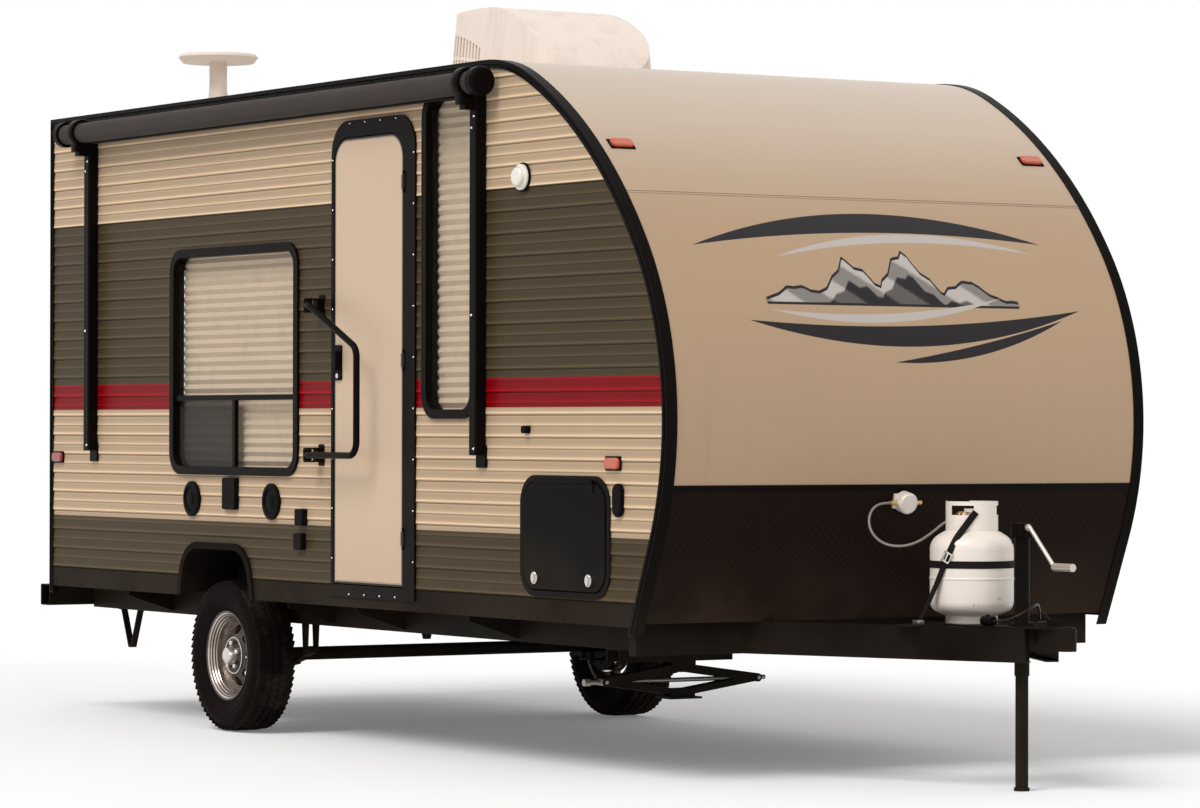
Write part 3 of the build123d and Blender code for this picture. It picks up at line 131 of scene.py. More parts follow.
class Finish:
    def __init__(self, name, **fixed):
        self.material = bpy.data.materials.new(name)
        self.material.use_nodes = True
        self.tree = self.material.node_tree
        self.shader = self.tree.nodes["Principled BSDF"]
        for key, value in fixed.items():
            self.shader.inputs[key.replace("_", " ")].default_value = value
        raw = self.node("TexCoord", {}, {}, "Object")
        self.coords = self.node("Mapping", {}, {"Vector": raw, "Location": (-rearFace, -centreLine, 0)})
        parts = [self.node("SeparateXYZ", {}, {"Vector": self.coords}, axis) for axis in ("X", "Y", "Z")]
        self.x, self.y, self.z = parts

    def node(self, kind, settings, values, out=0):
        made = self.tree.nodes.new("ShaderNode" + kind)
        for key, value in settings.items():
            setattr(made, key, value)
        for key, value in values.items():
            if isinstance(value, Wire):
                self.tree.links.new(value.socket, made.inputs[key])
            else:
                made.inputs[key].default_value = value
        return Wire(self, made.outputs[out])

    def maths(self, operation, *values):
        return self.node("Math", {"operation": operation}, dict(enumerate(values)))

    def over(self, value, edge, soft=0.002):  # 0 below the edge and 1 above it
        ends = {"Value": value, "From Min": edge - soft, "From Max": edge + soft}
        return self.node("MapRange", {"interpolation_type": "SMOOTHSTEP"}, ends)

    def between(self, value, low, high, soft=0.002):
        return self.over(value, low, soft) * (1 - self.over(value, high, soft))

    def mix(self, low, high, mask):
        return self.node("Mix", {"data_type": "RGBA"}, {0: mask, 6: low, 7: high}, 2)

    def scaled(self, colour, shade):
        if isinstance(colour, tuple):
            colour = colour[:3]
        return self.node("VectorMath", {"operation": "SCALE"}, {0: colour, "Scale": shade})

    def noise(self, scale, detail=3, stretch=(1, 1, 1)):
        place = self.node("Mapping", {}, {"Vector": self.coords, "Scale": stretch})
        grain = {"Vector": place, "Scale": scale, "Detail": detail, "Roughness": 0.58}
        return self.node("TexNoise", {}, grain)

    def roundedBox(self, across, height, outline, corner):  # distance outside a rounded outline
        low, high, bottom, top = [v / 1000 for v in outline]
        radius = corner / 1000
        reach = []
        for value, start, end in ((across, low, high), (height, bottom, top)):
            off = self.maths("ABSOLUTE", value - (start + end) / 2)
            reach.append(off - ((end - start) / 2 - radius))
        out = [self.maths("MAXIMUM", r, 0) for r in reach]
        length = self.maths("SQRT", out[0] * out[0] + out[1] * out[1])
        return length + self.maths("MINIMUM", self.maths("MAXIMUM", reach[0], reach[1]), 0) - radius

    def feed(self, key, value):
        self.tree.links.new(value.socket, self.shader.inputs[key])

    def dress(self, colour, roughness):
        self.feed("Base Color", colour)
        self.feed("Roughness", roughness)

    def bump(self, height, depth, strength=0.6):
        bumps = {"Height": height, "Distance": depth, "Strength": strength}
        self.feed("Normal", self.node("Bump", {}, bumps))

    def worn(self, colour, roughness, patch=0.1, speckle=0.06, grain=60, depth=0.0003, dust=0.12, sheen=0.12):
        # broad patches, fine speckle, dust low down, uneven gloss and a light grain
        broad = self.noise(1.6, 4)
        fine = self.noise(grain, 5)
        shade = 1 + (broad - 0.5) * patch + (fine - 0.5) * speckle
        base = self.scaled(colour, shade)
        low = (1 - self.over(self.z, 0.55, 0.5)) * self.over(broad, 0.45, 0.2) * dust
        base = self.mix(base, paint(132, 118, 100), low)
        self.feed("Base Color", base)
        self.feed("Roughness", roughness + (broad - 0.5) * sheen + (fine - 0.5) * sheen + low * 0.4)
        self.bump(fine, depth)
        return self


colours = {
    "tan": paint(208, 180, 148),
    "noseTan": paint(178, 150, 121),
    "capTan": paint(199, 180, 161),
    "olive": paint(80, 67, 47),
    "red": paint(140, 8, 18),
    "skirt": paint(29, 20, 14),
    "charcoal": paint(24, 20, 23),
    "silver": paint(186, 178, 170),
}
bandEdges = ((0.689, "olive"), (0.940, "tan"), (1.442, "red"), (1.560, "olive"), (2.317, "tan"))
# painted light and shade of each siding course: lap is the painted shadow at each course's foot, creaseShade
# the painted shade in the mid-course crease, fallShade the painted shade on faces that slope away,
# crestHighlight the painted highlight on the crests
siding = {"start": 0.689, "pitch": 0.09, "lap": 0.75, "creaseShade": 0.34, "fallShade": 0.28, "crestHighlight": 0.42}


def sidingFinish():
    made = Finish("sidingPaint", Specular_IOR_Level=0.06)
    colour = colours["skirt"]
    for edge, name in bandEdges:
        colour = made.mix(colour, colours[name], made.over(made.z, edge, 0.0015))
    course = made.maths("FRACT", (made.z - siding["start"]) / siding["pitch"])
    # painted shade and light: a painted shadow under the lap at each course's foot, painted shade in the
    # crease and where the face falls away, and painted highlights on the crests
    foot = 1 - made.over(course, 0.045, 0.04)
    lap = foot * siding["lap"] + made.between(course, 0.51, 0.565, 0.02) * siding["creaseShade"]
    fallShade = made.between(course, 0.2, 0.53, 0.16) + made.between(course, 0.68, 1.02, 0.14)
    crestHighlight = made.between(course, 0.09, 0.17, 0.035) + made.between(course, 0.58, 0.64, 0.03) * 0.7
    streak = made.noise(9, 4, (1, 1, 0.12))
    fine = made.noise(90, 5)
    broad = made.noise(0.9, 3)
    shade = 1 + (broad - 0.5) * 0.1 + (streak - 0.5) * 0.09 + (fine - 0.5) * 0.05
    # the painted highlights and shades of the courses are multiplied into the colour here
    shade = shade * (1 + crestHighlight * siding["crestHighlight"] - fallShade * siding["fallShade"]) * (1 - lap)
    base = made.scaled(colour, shade)
    dirt = (1 - made.over(made.z, 0.75, 0.3)) * made.over(streak, 0.5, 0.12) * 0.2
    made.dress(made.mix(base, paint(104, 90, 72), dirt), 0.36 + (fine - 0.5) * 0.14 + dirt + foot * 0.15)
    made.bump(crestHighlight * 0.8 + fine * 0.12 + broad * 0.8, 0.0016, 0.5)
    return made


def noseFinish():
    made = Finish("nosePaint", Coat_Roughness=0.22, Specular_IOR_Level=0.2)
    broad = made.noise(0.8, 3)
    fine = made.noise(160, 4)
    orange = made.noise(60, 2)
    cap = made.over(made.z, 2.272, 0.002)
    tone = made.mix(colours["noseTan"], colours["capTan"], made.over(made.z, 2.45, 0.35))
    tone = made.mix(tone, made.scaled(tone, 1.03), cap)
    base = made.scaled(tone, 1 + (broad - 0.5) * 0.08 + (fine - 0.5) * 0.04)
    seam = made.between(made.z, 2.2715, 2.2745, 0.0006)
    base = made.mix(base, paint(96, 80, 64), seam * 0.8)
    run = made.noise(7, 5, (1, 1, 0.07))
    grime = made.over(run, 0.6, 0.1) * (1 - made.over(made.z, 1.5, 0.35)) * 0.12
    base = made.mix(base, paint(120, 100, 80), grime)
    base = frontDesign(made, base, fine)
    made.dress(base, 0.33 + (fine - 0.5) * 0.1 + grime)
    made.feed("Coat Weight", 0.12 - grime * 0.5)
    made.bump(orange * 0.5 + broad, 0.0006, 0.35)
    return made


design = {
    # centre height, rise at the middle, slope, thickness, middle and half length across, colour
    "sweeps": (
        (2.125, 0.090, 0.02, 0.040, -0.05, 0.86, "charcoal"),
        (2.074, 0.075, 0.02, 0.018, 0.10, 0.66, "silver"),
        (1.765, -0.085, 0.03, 0.042, 0.08, 0.82, "charcoal"),
        (1.822, -0.060, 0.03, 0.018, -0.06, 0.58, "silver"),
        (1.690, -0.035, 0.09, 0.022, 0.36, 0.44, "charcoal"),
    ),
    "ridge": {"base": 1.852, "lift": 0.24, "half": 0.62, "pitch": 0.30, "edge": 0.012, "snow": 0.035},
    "nearest": 4.6,
}


def frontDesign(made, base, fine):
    # a mountain ridge between tapered sweeps
    y, z = made.y, made.z
    front = made.over(made.x, design["nearest"], 0.01)
    ridge = design["ridge"]
    spread = made.maths("MAXIMUM", 1 - made.maths("ABSOLUTE", y + 0.02) / ridge["half"], 0)
    tooth = made.maths("PINGPONG", y + 0.07, ridge["pitch"] / 2) / ridge["pitch"] * 2
    small = made.maths("PINGPONG", y * 2.3 + 0.04, 0.09) * 0.28
    top = ridge["base"] + spread * (0.045 + tooth * ridge["lift"] * 0.75) + small * spread
    within = made.over(spread, 0.02, 0.01)
    inside = made.over(top - z, 0, 0.0012) * made.over(z, ridge["base"] - 0.004, 0.0012) * within
    lit = made.over(made.maths("SINE", (y * 21 + z * 34 + (fine - 0.5) * 1.1)), 0.1, 0.35)
    snow = made.over(z - (top - ridge["snow"] - tooth * 0.05), 0, 0.006)
    stone = made.mix(colours["charcoal"], paint(104, 96, 94), lit * 0.75)
    stone = made.mix(stone, colours["silver"], snow * (0.45 + lit * 0.55))
    above = made.over(top + ridge["edge"] - z, 0, 0.0012)
    rim = above * made.over(z, ridge["base"] - 0.014, 0.0012) * within
    base = made.mix(base, colours["charcoal"], rim * front)
    base = made.mix(base, stone, inside * front)
    for centre, rise, slope, thick, middle, half, name in design["sweeps"]:
        along = (y - middle) / half
        square = along * along
        line = centre + rise * (1 - square) - rise / 2 + slope * along
        room = made.maths("MAXIMUM", 1 - square, 0) * thick
        gap = room - made.maths("ABSOLUTE", z - line)
        base = made.mix(base, colours[name], made.over(gap, 0.0012, 0.0012) * front)
    return base


def treadPlate(made, pitch):  # raised lozenges in two crossed directions
    across = (made.y + made.z) / pitch
    up = (made.y - made.z) / pitch
    a = made.maths("ABSOLUTE", made.maths("FRACT", across) - 0.5)
    b = made.maths("ABSOLUTE", made.maths("FRACT", up) - 0.5)
    parity = made.maths("PINGPONG", made.maths("FLOOR", across) + made.maths("FLOOR", up), 1)
    lying = (a / 0.4) * (a / 0.4) + (b / 0.13) * (b / 0.13)
    standing = (a / 0.13) * (a / 0.13) + (b / 0.4) * (b / 0.4)
    return 1 - made.over(lying * (1 - parity) + standing * parity, 0.8, 0.25)


def lowerNoseFinish():
    made = Finish("lowerNose", Specular_IOR_Level=0.035)
    tread = treadPlate(made, 0.034)
    broad = made.noise(1.4, 4)
    fine = made.noise(70, 4)
    shade = 1 + (broad - 0.5) * 0.3 + (fine - 0.5) * 0.2
    # painted highlight: the raised lozenges are painted lighter than the plate between them
    base = made.scaled(paint(29, 19, 14), shade + tread * 0.5)
    edge = made.between(made.z, 1.112, 1.133, 0.001)
    base = made.mix(base, paint(24, 19, 17), edge)
    dusty = (1 - made.over(made.z, 0.75, 0.2)) * made.over(broad, 0.5, 0.15) * 0.25
    made.dress(made.mix(base, paint(96, 78, 62), dusty), 0.46 + (fine - 0.5) * 0.2 + dusty - tread * 0.1)
    made.bump(tread + fine * 0.12, 0.0014, 0.8)
    return made


def doorFinish(name, outline, corner, rim, tone, gloss=0.3, squareFoot=False):
    made = Finish(name, Specular_IOR_Level=gloss)
    low, high, bottom, top = outline
    drop = 400 if squareFoot else 0
    out = made.roundedBox(made.x, made.z, (low, high, bottom - drop, top), corner)
    if squareFoot:
        out = made.maths("MAXIMUM", out, bottom / 1000 - made.z)
    band = made.over(out, -rim / 1000, 0.0012)
    broad = made.noise(1.1, 3)
    fine = made.noise(130, 4)
    shade = 1 + (broad - 0.5) * 0.08 + (fine - 0.5) * 0.05
    # painted shade: the panel is painted darker in the crease just inside the dark rim
    creaseShade = made.between(out, -rim / 1000 - 0.006, -rim / 1000, 0.001)
    base = made.mix(made.scaled(tone, shade - creaseShade * 0.35), made.scaled(paint(17, 13, 12), shade), band)
    low = (1 - made.over(made.z, 0.85, 0.2)) * made.over(broad, 0.45, 0.2) * 0.1
    made.dress(made.mix(base, paint(120, 100, 80), low), 0.38 + (fine - 0.5) * 0.12 + band * 0.08 + low)
    made.bump(fine * 0.3 + broad + band * 2, 0.0008, 0.4)
    return made


cloths = {
    "awningCloth": {"tone": paint(46, 37, 31), "thread": 2200, "slant": 1, "weave": 0.05, "patch": 0.12,
                    "rough": 0.8, "raise": 0.5, "sheen": 0.08, "gloss": 0.25},
    "blindCloth": {"tone": paint(236, 214, 186), "thread": 2600, "slant": 0, "weave": 0.04, "patch": 0.1,
                   "rough": 0.78, "raise": 0.4, "sheen": 0.1, "gloss": 0.2},
}


def clothFinish(name):
    cloth = cloths[name]
    made = Finish(name, Sheen_Weight=cloth["sheen"], Specular_IOR_Level=cloth["gloss"])
    thread = cloth["thread"]
    warp = made.maths("SINE", made.x * thread)
    weft = made.maths("SINE", made.z * thread + made.y * (thread * cloth["slant"]))
    weave = warp * weft
    broad = made.noise(5, 3)
    shade = 1 + weave * cloth["weave"] + (broad - 0.5) * cloth["patch"]
    made.dress(made.scaled(cloth["tone"], shade), cloth["rough"] + (broad - 0.5) * 0.15)
    made.bump(weave, 0.0004, cloth["raise"])
    return made


wheel = {"x": 1744, "out": 1008, "height": 338}
# radii of thin rings on the rim that are painted as bright, glossier metal: painted highlights on the rim's
# ridges
wheelRings = (0.1795, 0.1712, 0.163, 0.1525, 0.1415, 0.08)  # metres from the hub


def fromAxle(made):  # metres from the axle's line
    across = made.x - wheel["x"] / 1000
    height = made.z - wheel["height"] / 1000
    return made.maths("SQRT", across * across + height * height)


def wheelFinish(side):
    made = Finish("wheelMetal" + side, Coat_Roughness=0.15)
    sign = -1 if side == "Right" else 1
    reach = fromAxle(made)
    out = made.y * sign - wheel["out"] / 1000
    # painted highlights: the lip and the rings are painted bright on the rim's outer face
    bright = made.between(reach, 0.186, 0.192, 0.001)
    for middle in wheelRings:
        bright = bright + made.between(reach, middle - 0.0016, middle + 0.0016, 0.0009)
    bright = made.maths("MINIMUM", bright * made.over(out, -0.03, 0.01), 1)
    spun = made.maths("SINE", reach * 5200)
    fine = made.noise(120, 4)
    broad = made.noise(9, 4)
    dark = made.scaled(paint(62, 48, 42), 1 + (broad - 0.5) * 0.6 + (fine - 0.5) * 0.2)
    ringHighlight = made.scaled(paint(204, 190, 180), 1 + spun * 0.04 + (broad - 0.5) * 0.12)
    base = made.mix(dark, ringHighlight, bright)
    grime = made.over(broad, 0.56, 0.1) * 0.3
    made.feed("Base Color", made.mix(base, paint(84, 68, 54), grime))
    made.feed("Metallic", 0.55 + bright * 0.4 - grime * 0.5)
    made.feed("Roughness", 0.36 - bright * 0.14 + (fine - 0.5) * 0.15 + grime * 0.6)
    made.feed("Coat Weight", 0.3 - grime)
    made.bump(spun * 0.2 * bright + fine, 0.0003, 0.4)
    return made


def rubberFinish():
    made = Finish("tyreRubber", Specular_IOR_Level=0.03)
    reach = fromAxle(made)
    rings = made.maths("SINE", reach * 1400)
    fine = made.noise(150, 5)
    broad = made.noise(6, 4)
    dust = made.over(reach, 0.322, 0.01) * made.over(broad, 0.5, 0.12) * 0.3
    base = made.scaled(paint(21, 15, 13), 1 + (broad - 0.5) * 0.4 + (fine - 0.5) * 0.25)
    made.dress(made.mix(base, paint(88, 74, 64), dust * 0.7), 0.7 + (broad - 0.5) * 0.25 + dust * 0.2)
    made.bump(rings * 0.15 + fine, 0.0005, 0.5)
    return made


def lampFinish():
    made = Finish("lampLens", Coat_Weight=0.6, Coat_Roughness=0.06, Specular_IOR_Level=0.6)
    ribs = made.maths("SINE", (made.x + made.y) * 900)
    fine = made.noise(40, 3)
    amber = made.scaled(paint(196, 78, 34), 1 + ribs * 0.12 + (fine - 0.5) * 0.2)
    red = made.scaled(paint(150, 18, 16), 1 + ribs * 0.12 + (fine - 0.5) * 0.2)
    base = made.mix(red, amber, made.over(made.x, 0.6, 0.01))
    porch = made.between(made.x, 4.3, 4.5, 0.002) * made.over(made.z, 2.2, 0.01)
    base = made.mix(base, made.scaled(paint(236, 230, 218), 1 + (fine - 0.5) * 0.1), porch)
    made.dress(base, 0.22 + (fine - 0.5) * 0.1)
    made.bump(ribs * (1 - porch) + fine * 0.2, 0.0008, 0.5)
    return made


def glassFinish():
    made = Finish("windowGlass", Specular_IOR_Level=0.4, IOR=1.45)
    wavy = made.noise(2.2, 2)
    smear = made.noise(14, 5)
    made.feed("Base Color", made.scaled(paint(60, 54, 46), 1 + (smear - 0.5) * 0.2))
    made.feed("Roughness", 0.05 + made.over(smear, 0.6, 0.15) * 0.12)
    made.feed("Alpha", 0.1 + made.over(smear, 0.62, 0.15) * 0.04)
    made.bump(wavy, 0.0012, 0.25)
    return made


def bottleFinish():
    made = Finish("bottlePaint", Specular_IOR_Level=0.5)
    broad = made.noise(7, 4)
    fine = made.noise(110, 4)
    rust = made.over(made.noise(24, 6), 0.66, 0.04) * (1 - made.over(made.z, 0.72, 0.06)) * 0.7
    base = made.scaled(paint(236, 224, 213), 1 + (broad - 0.5) * 0.08 + (fine - 0.5) * 0.04)
    made.dress(made.mix(base, paint(140, 96, 64), rust), 0.34 + (broad - 0.5) * 0.15 + rust * 0.4)
    made.bump(fine + broad * 0.5, 0.0004, 0.4)
    return made


def gasFinish():
    # the black tray below and the pale regulator with its brass ports above
    made = Finish("gasFittings", Specular_IOR_Level=0.3)
    broad = made.noise(9, 4)
    fine = made.noise(120, 4)
    high = made.over(made.z, 0.66, 0.01)
    off = made.maths("ABSOLUTE", made.y + 0.024)
    port = made.over(off, 0.046, 0.002)
    pale = made.mix(paint(226, 216, 206), paint(196, 164, 104), port)
    base = made.mix(paint(20, 13, 10), pale, high)
    made.feed("Base Color", made.scaled(base, 1 + (broad - 0.5) * 0.25 + (fine - 0.5) * 0.1))
    made.feed("Metallic", high * (0.15 + port * 0.7))
    made.feed("Roughness", 0.36 + (fine - 0.5) * 0.15)
    made.bump(fine, 0.0003, 0.4)
    return made


def shellFinish():
    # moulded shell of the roof unit, with streaks of dust
    made = Finish("roofShell", Specular_IOR_Level=0.45)
    broad = made.noise(2.4, 4)
    fine = made.noise(120, 4)
    streak = made.noise(10, 4, (1, 1, 0.15))
    grime = made.over(streak, 0.56, 0.12) * 0.14
    base = made.scaled(paint(238, 222, 210), 1 + (broad - 0.5) * 0.08 + (fine - 0.5) * 0.04)
    made.dress(made.mix(base, paint(150, 132, 112), grime), 0.42 + (broad - 0.5) * 0.15 + grime)
    made.bump(fine, 0.0004, 0.4)
    return made


def plain(name, colour, wear, gloss=0.5, metal=0.0, alpha=1.0):
    # wear: roughness, patches, speckle, grain, depth of the grain and dust
    return Finish(name, Specular_IOR_Level=gloss, Metallic=metal, Alpha=alpha).worn(colour, *wear)


entryPanel = (2854, 3446, 700, 2585)
baggagePanel = (4414, 5022, 726, 1146)
finishes = {
    "siding": sidingFinish(),
    "nose": noseFinish(),
    "lowerNose": lowerNoseFinish(),
    "door": doorFinish("doorPaint", entryPanel, 105, 8, paint(207, 180, 152), 0.3, True),
    "baggage": doorFinish("baggagePaint", baggagePanel, 83, -900, paint(11, 9, 8), 0.03),
    "blind": clothFinish("blindCloth"),
    "awning": clothFinish("awningCloth"),
    "rimRight": wheelFinish("Right"),
    "rimLeft": wheelFinish("Left"),
    "tyre": rubberFinish(),
    "lamp": lampFinish(),
    "glass": glassFinish(),
    "bottle": bottleFinish(),
    "shell": shellFinish(),
    "gas": gasFinish(),
    "framePaint": plain("framePaint", paint(17, 12, 9), (0.42, 0.4, 0.3, 50, 0.0006, 0.1), 0.03),
    "trim": plain("blackTrim", paint(15, 11, 9), (0.34, 0.25, 0.15, 140, 0.0002, 0.08), 0.035),
    "skirt": plain("skirtPaint", colours["skirt"], (0.46, 0.25, 0.15, 80, 0.0004, 0.16), 0.025),
    "plastic": plain("blackPlastic", paint(15, 12, 11), (0.5, 0.2, 0.15, 300, 0.0003, 0.08), 0.035),
    "arch": plain("archPlastic", paint(14, 10, 9), (0.6, 0.3, 0.2, 200, 0.0006, 0.15), 0.02),
    "white": plain("whitePlastic", paint(226, 211, 197), (0.42, 0.1, 0.05, 160, 0.0003, 0.05), 0.35),
    "roof": plain("roofSkin", paint(214, 206, 196), (0.66, 0.14, 0.08, 40, 0.0008, 0)),
    "board": plain("wallBoard", paint(196, 178, 152), (0.6, 0.12, 0.08, 20, 0.0005, 0)),
    "under": plain("underbody", paint(14, 11, 10), (0.75, 0.4, 0.3, 25, 0.001, 0.15), 0.02),
    "zinc": plain("zinc", paint(150, 146, 140), (0.4, 0.25, 0.2, 180, 0.0003, 0.25), metal=0.85),
    "bright": plain("brightMetal", paint(214, 210, 204), (0.2, 0.12, 0.08, 200, 0.0001, 0.05), metal=1.0),
    "brass": plain("brass", paint(190, 150, 84), (0.32, 0.2, 0.15, 120, 0.0002, 0.1), metal=1.0),
    "hose": plain("hoseRubber", paint(24, 19, 17), (0.4, 0.2, 0.15, 220, 0.0003, 0.05), 0.2),
    "gasHose": plain("gasHoseRubber", paint(128, 116, 110), (0.4, 0.15, 0.1, 200, 0.0003, 0.0)),
    "crank": plain("crankSteel", paint(206, 194, 184), (0.34, 0.2, 0.15, 160, 0.0002, 0.05), metal=0.75),
    "webbing": plain("webbing", paint(24, 19, 18), (0.72, 0.2, 0.3, 700, 0.0005, 0.05), 0.1),
    "screen": plain("insectScreen", paint(46, 40, 33), (0.7, 0.1, 0.1, 900, 0.0002, 0.0), alpha=0.58),
}

wearers = {  # the nodes of each finish; the rest are framePaint
    "siding": "siding wall_rear",
    "skirt": "skirts",
    "trim": "corner_trims window_frames door_frames awning_hardware grab_handle",
    "plastic": "door_latch wall_fittings wiring_plug",
    "bottle": "bottle_collar gas_bottle",
    "gas": "gas_fittings",
    "webbing": "bottle_strap",
    "crank": "jack_crank",
    "arch": "wheel_wells",
    "nose": "nose_cap nose_panel",
    "lowerNose": "nose_lower",
    "roof": "roof",
    "board": "wall_left wall_right",
    "under": "floor",
    "door": "entry_door",
    "baggage": "baggage_door",
    "bright": "baggage_latches hub_right hub_left",
    "glass": "window_panes",
    "blind": "blinds",
    "rimRight": "rim_right",
    "rimLeft": "rim_left",
    "tyre": "tyre_right tyre_left",
    "lamp": "lamps",
    "shell": "air_conditioner",
    "white": "roof_fittings",
    "awning": "awning_roll",
    "zinc": "stabiliser_screw stabiliser_nut",
    "gasHose": "gas_hose",
    "hose": "wiring_cable",
}
finishOf = {name: finish for finish, names in wearers.items() for name in names.split()}
for name, node in nodes.items():
    node.data.materials.clear()
    node.data.materials.append(finishes[finishOf.get(name, "framePaint")].material)
print("finishes made:", len(finishes))


# mesh helpers
def gather(shapes):
    whole = bmesh.new()
    for shape in shapes:
        part = bpy.data.meshes.new("part")
        shape.to_mesh(part)
        shape.free()
        whole.from_mesh(part)
        bpy.data.meshes.remove(part)
    return whole


def turnTo(axis):
    return Vector(axis).to_track_quat("Z", "Y").to_matrix().to_4x4()


def moved(shape, matrix):
    bmesh.ops.transform(shape, matrix=matrix, verts=shape.verts)
    return shape


def placed(shape, point, axis=(0, 0, 1)):
    return moved(shape, Matrix.Translation(point) @ turnTo(axis))


def block(low, high, bevel=0.0, steps=2):
    shape = bmesh.new()
    size = [b - a for a, b in zip(low, high)]
    middle = [(a + b) / 2 for a, b in zip(low, high)]
    bmesh.ops.create_cube(shape, size=1, matrix=Matrix.Translation(middle) @ Matrix.Diagonal(size + [1]))
    if bevel:
        bmesh.ops.bevel(shape, geom=shape.edges[:], offset=bevel, segments=steps, profile=0.5,
                        affect="EDGES", material=-1)
    return shape


def lathe(profile, steps=48):  # pairs of radius and height spun round Z
    shape = bmesh.new()
    ring = [shape.verts.new((radius, 0, height)) for radius, height in profile]
    edges = [shape.edges.new(pair) for pair in zip(ring, ring[1:])]
    bmesh.ops.spin(shape, geom=ring + edges, cent=(0, 0, 0), axis=(0, 0, 1), angle=math.tau, steps=steps,
                   use_merge=True, use_duplicate=False)
    bmesh.ops.remove_doubles(shape, verts=shape.verts, dist=0.00001)
    bmesh.ops.recalc_face_normals(shape, faces=shape.faces)
    return shape


def stud(sides, foot, tip, height):
    shape = bmesh.new()
    bmesh.ops.create_cone(shape, cap_ends=True, segments=sides, radius1=foot, radius2=tip, depth=height,
                          matrix=Matrix.Translation((0, 0, height / 2)))
    return shape


def dome(radius, height):  # a small screw or bolt head
    return stud(10, radius, radius * 0.6, height)


def hexHead(radius, height):
    shape = stud(6, radius, radius, height)
    bmesh.ops.bevel(shape, geom=shape.edges[:], offset=radius * 0.1, segments=1, profile=0.5, affect="EDGES",
                    material=-1)
    return shape


def drawAcross(shape, points, length):  # a line of points drawn along x into a sheet
    line = [shape.verts.new(p) for p in points]
    edges = [shape.edges.new(pair) for pair in zip(line, line[1:])]
    drawn = bmesh.ops.extrude_edge_only(shape, edges=edges)
    fresh = [v for v in drawn["geom"] if isinstance(v, bmesh.types.BMVert)]
    bmesh.ops.translate(shape, verts=fresh, vec=(length, 0, 0))


def longEdges(shape, least):  # the edges that run along x
    return [e for e in shape.edges if abs(e.verts[0].co.x - e.verts[1].co.x) > least]


def faceOut(shape, middle):
    bmesh.ops.recalc_face_normals(shape, faces=shape.faces)
    if sum(f.normal.dot(f.calc_center_median() - middle) for f in shape.faces) < 0:
        bmesh.ops.reverse_faces(shape, faces=shape.faces)


def show(name, data, finish, body):
    data.materials.append(finishes[finish].material)
    made = bpy.data.objects.new(name, data)
    bpy.context.scene.collection.objects.link(made)
    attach(made, body)
    return made


def finishPiece(name, shape, finish, body="trailer", smooth=35):
    mesh = bpy.data.meshes.new(name)
    shape.to_mesh(mesh)
    shape.free()
    mesh.shade_smooth()
    mesh.set_sharp_from_angle(angle=math.radians(smooth))
    return show(name, mesh, finish, body)


def scatter(name, maker, places, finish):
    shapes = [placed(maker(), point, axis) for point, axis in places]
    finishPiece(name, gather(shapes), finish)


# cords: the same points as the solids
hose = {
    "startY": -100,
    "startTurn": 104.5,
    "startOut": 29,
    "radius": 0.005,
    "length": 0.629,
    "valve": (5781, 1026),
}
cable = {
    "radius": 0.005,
    "length": 1.316,
    "start": (512, 694),
    "run": (
        (5350, 478, 634), (5430, 438, 623), (5530, 392, 621.5), (5640, 342, 623), (5740, 294, 630),
        (5827, 254, 634), (5912, 214, 630), (5996, 176, 629), (6064, 142, 638), (6112, 106, 664),
        (6152, 70, 692), (6192, 32, 704), (6222, -10, 696), (6228, -56, 674), (6202, -92, 652),
        (6154, -108, 638.3), (6106, -108, 638.3),
    ),
}
nose = {
    "start": 4102,
    "roof": 2835,
    "end": 112.5,
    "arcs": ((780, 0, 25), (1980, 25, 56), (1230, 56, 112.5)),  # radius, first and last turn
}


def nosePoint(turn):  # place and outward way where the nose has turned down by an angle
    x, z = nose["start"], nose["roof"]
    for radius, low, high in nose["arcs"]:
        end = min(turn, high)
        x += radius * (math.sin(math.radians(end)) - math.sin(math.radians(low)))
        z -= radius * (math.cos(math.radians(low)) - math.cos(math.radians(end)))
        if turn <= high:
            break
    return x, z, Vector((math.sin(math.radians(turn)), 0, math.cos(math.radians(turn))))


def noseFoot(height):
    x, z, way = nosePoint(nose["end"])
    return x - (z - height) * math.tan(math.radians(nose["end"] - 90)), height, way


def tubeLine(name, kind, points, radius, roundness, finish):
    line = bpy.data.curves.new(name, "CURVE")
    line.dimensions = "3D"
    line.bevel_depth = radius
    line.bevel_resolution = roundness
    line.use_fill_caps = True
    spline = line.splines.new(kind)
    spline.points.add(len(points) - 1)
    for knot, point in zip(spline.points, points):
        knot.co = (*point, 1)
    if kind == "NURBS":
        spline.order_u = 3
        spline.use_endpoint_u = True
        spline.resolution_u = 16
    return show(name, line, finish, "trailer")


def cord(name, points, radius, finish, replaced):
    made = tubeLine(name, "NURBS", points, radius, 4, finish)
    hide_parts(replaced)
    return made


def addCords():
    x, z, way = nosePoint(hose["startTurn"])
    x, z = x + way.x * hose["startOut"], z + way.z * hose["startOut"]
    y = hose["startY"]
    valveX, valveZ = hose["valve"]
    run = [(x, y, z), (x, y - 46, z), (x + 8, y - 92, z - 20), (x + 21, y - 120, z - 58),
           (x + 43, y - 128, z - 103), (x + 75, y - 114, z - 142), (x + 115, y - 86, z - 163),
           (x + 161, y - 50, z - 164), (x + 204, y - 13, z - 146), (x + 240, y + 25, z - 110),
           (valveX - 80, -36, valveZ - 24), (valveX - 40, 0, valveZ), (valveX, 0, valveZ)]
    points = [at(*p) for p in run]
    gas = cord("gasHose", points, hose["radius"], "gasHose", "gas_hose")
    startY, startZ = cable["start"]
    footX, footZ, way = noseFoot(startZ)
    start = Vector((footX, startY, footZ)) + way * 22
    run = [start, start + way * 50] + [Vector(p) for p in cable["run"]]
    points = [at(*p) for p in run]
    lead = cord("wiringCable", points, cable["radius"], "hose", "wiring_cable")


addCords()
print("cords made")


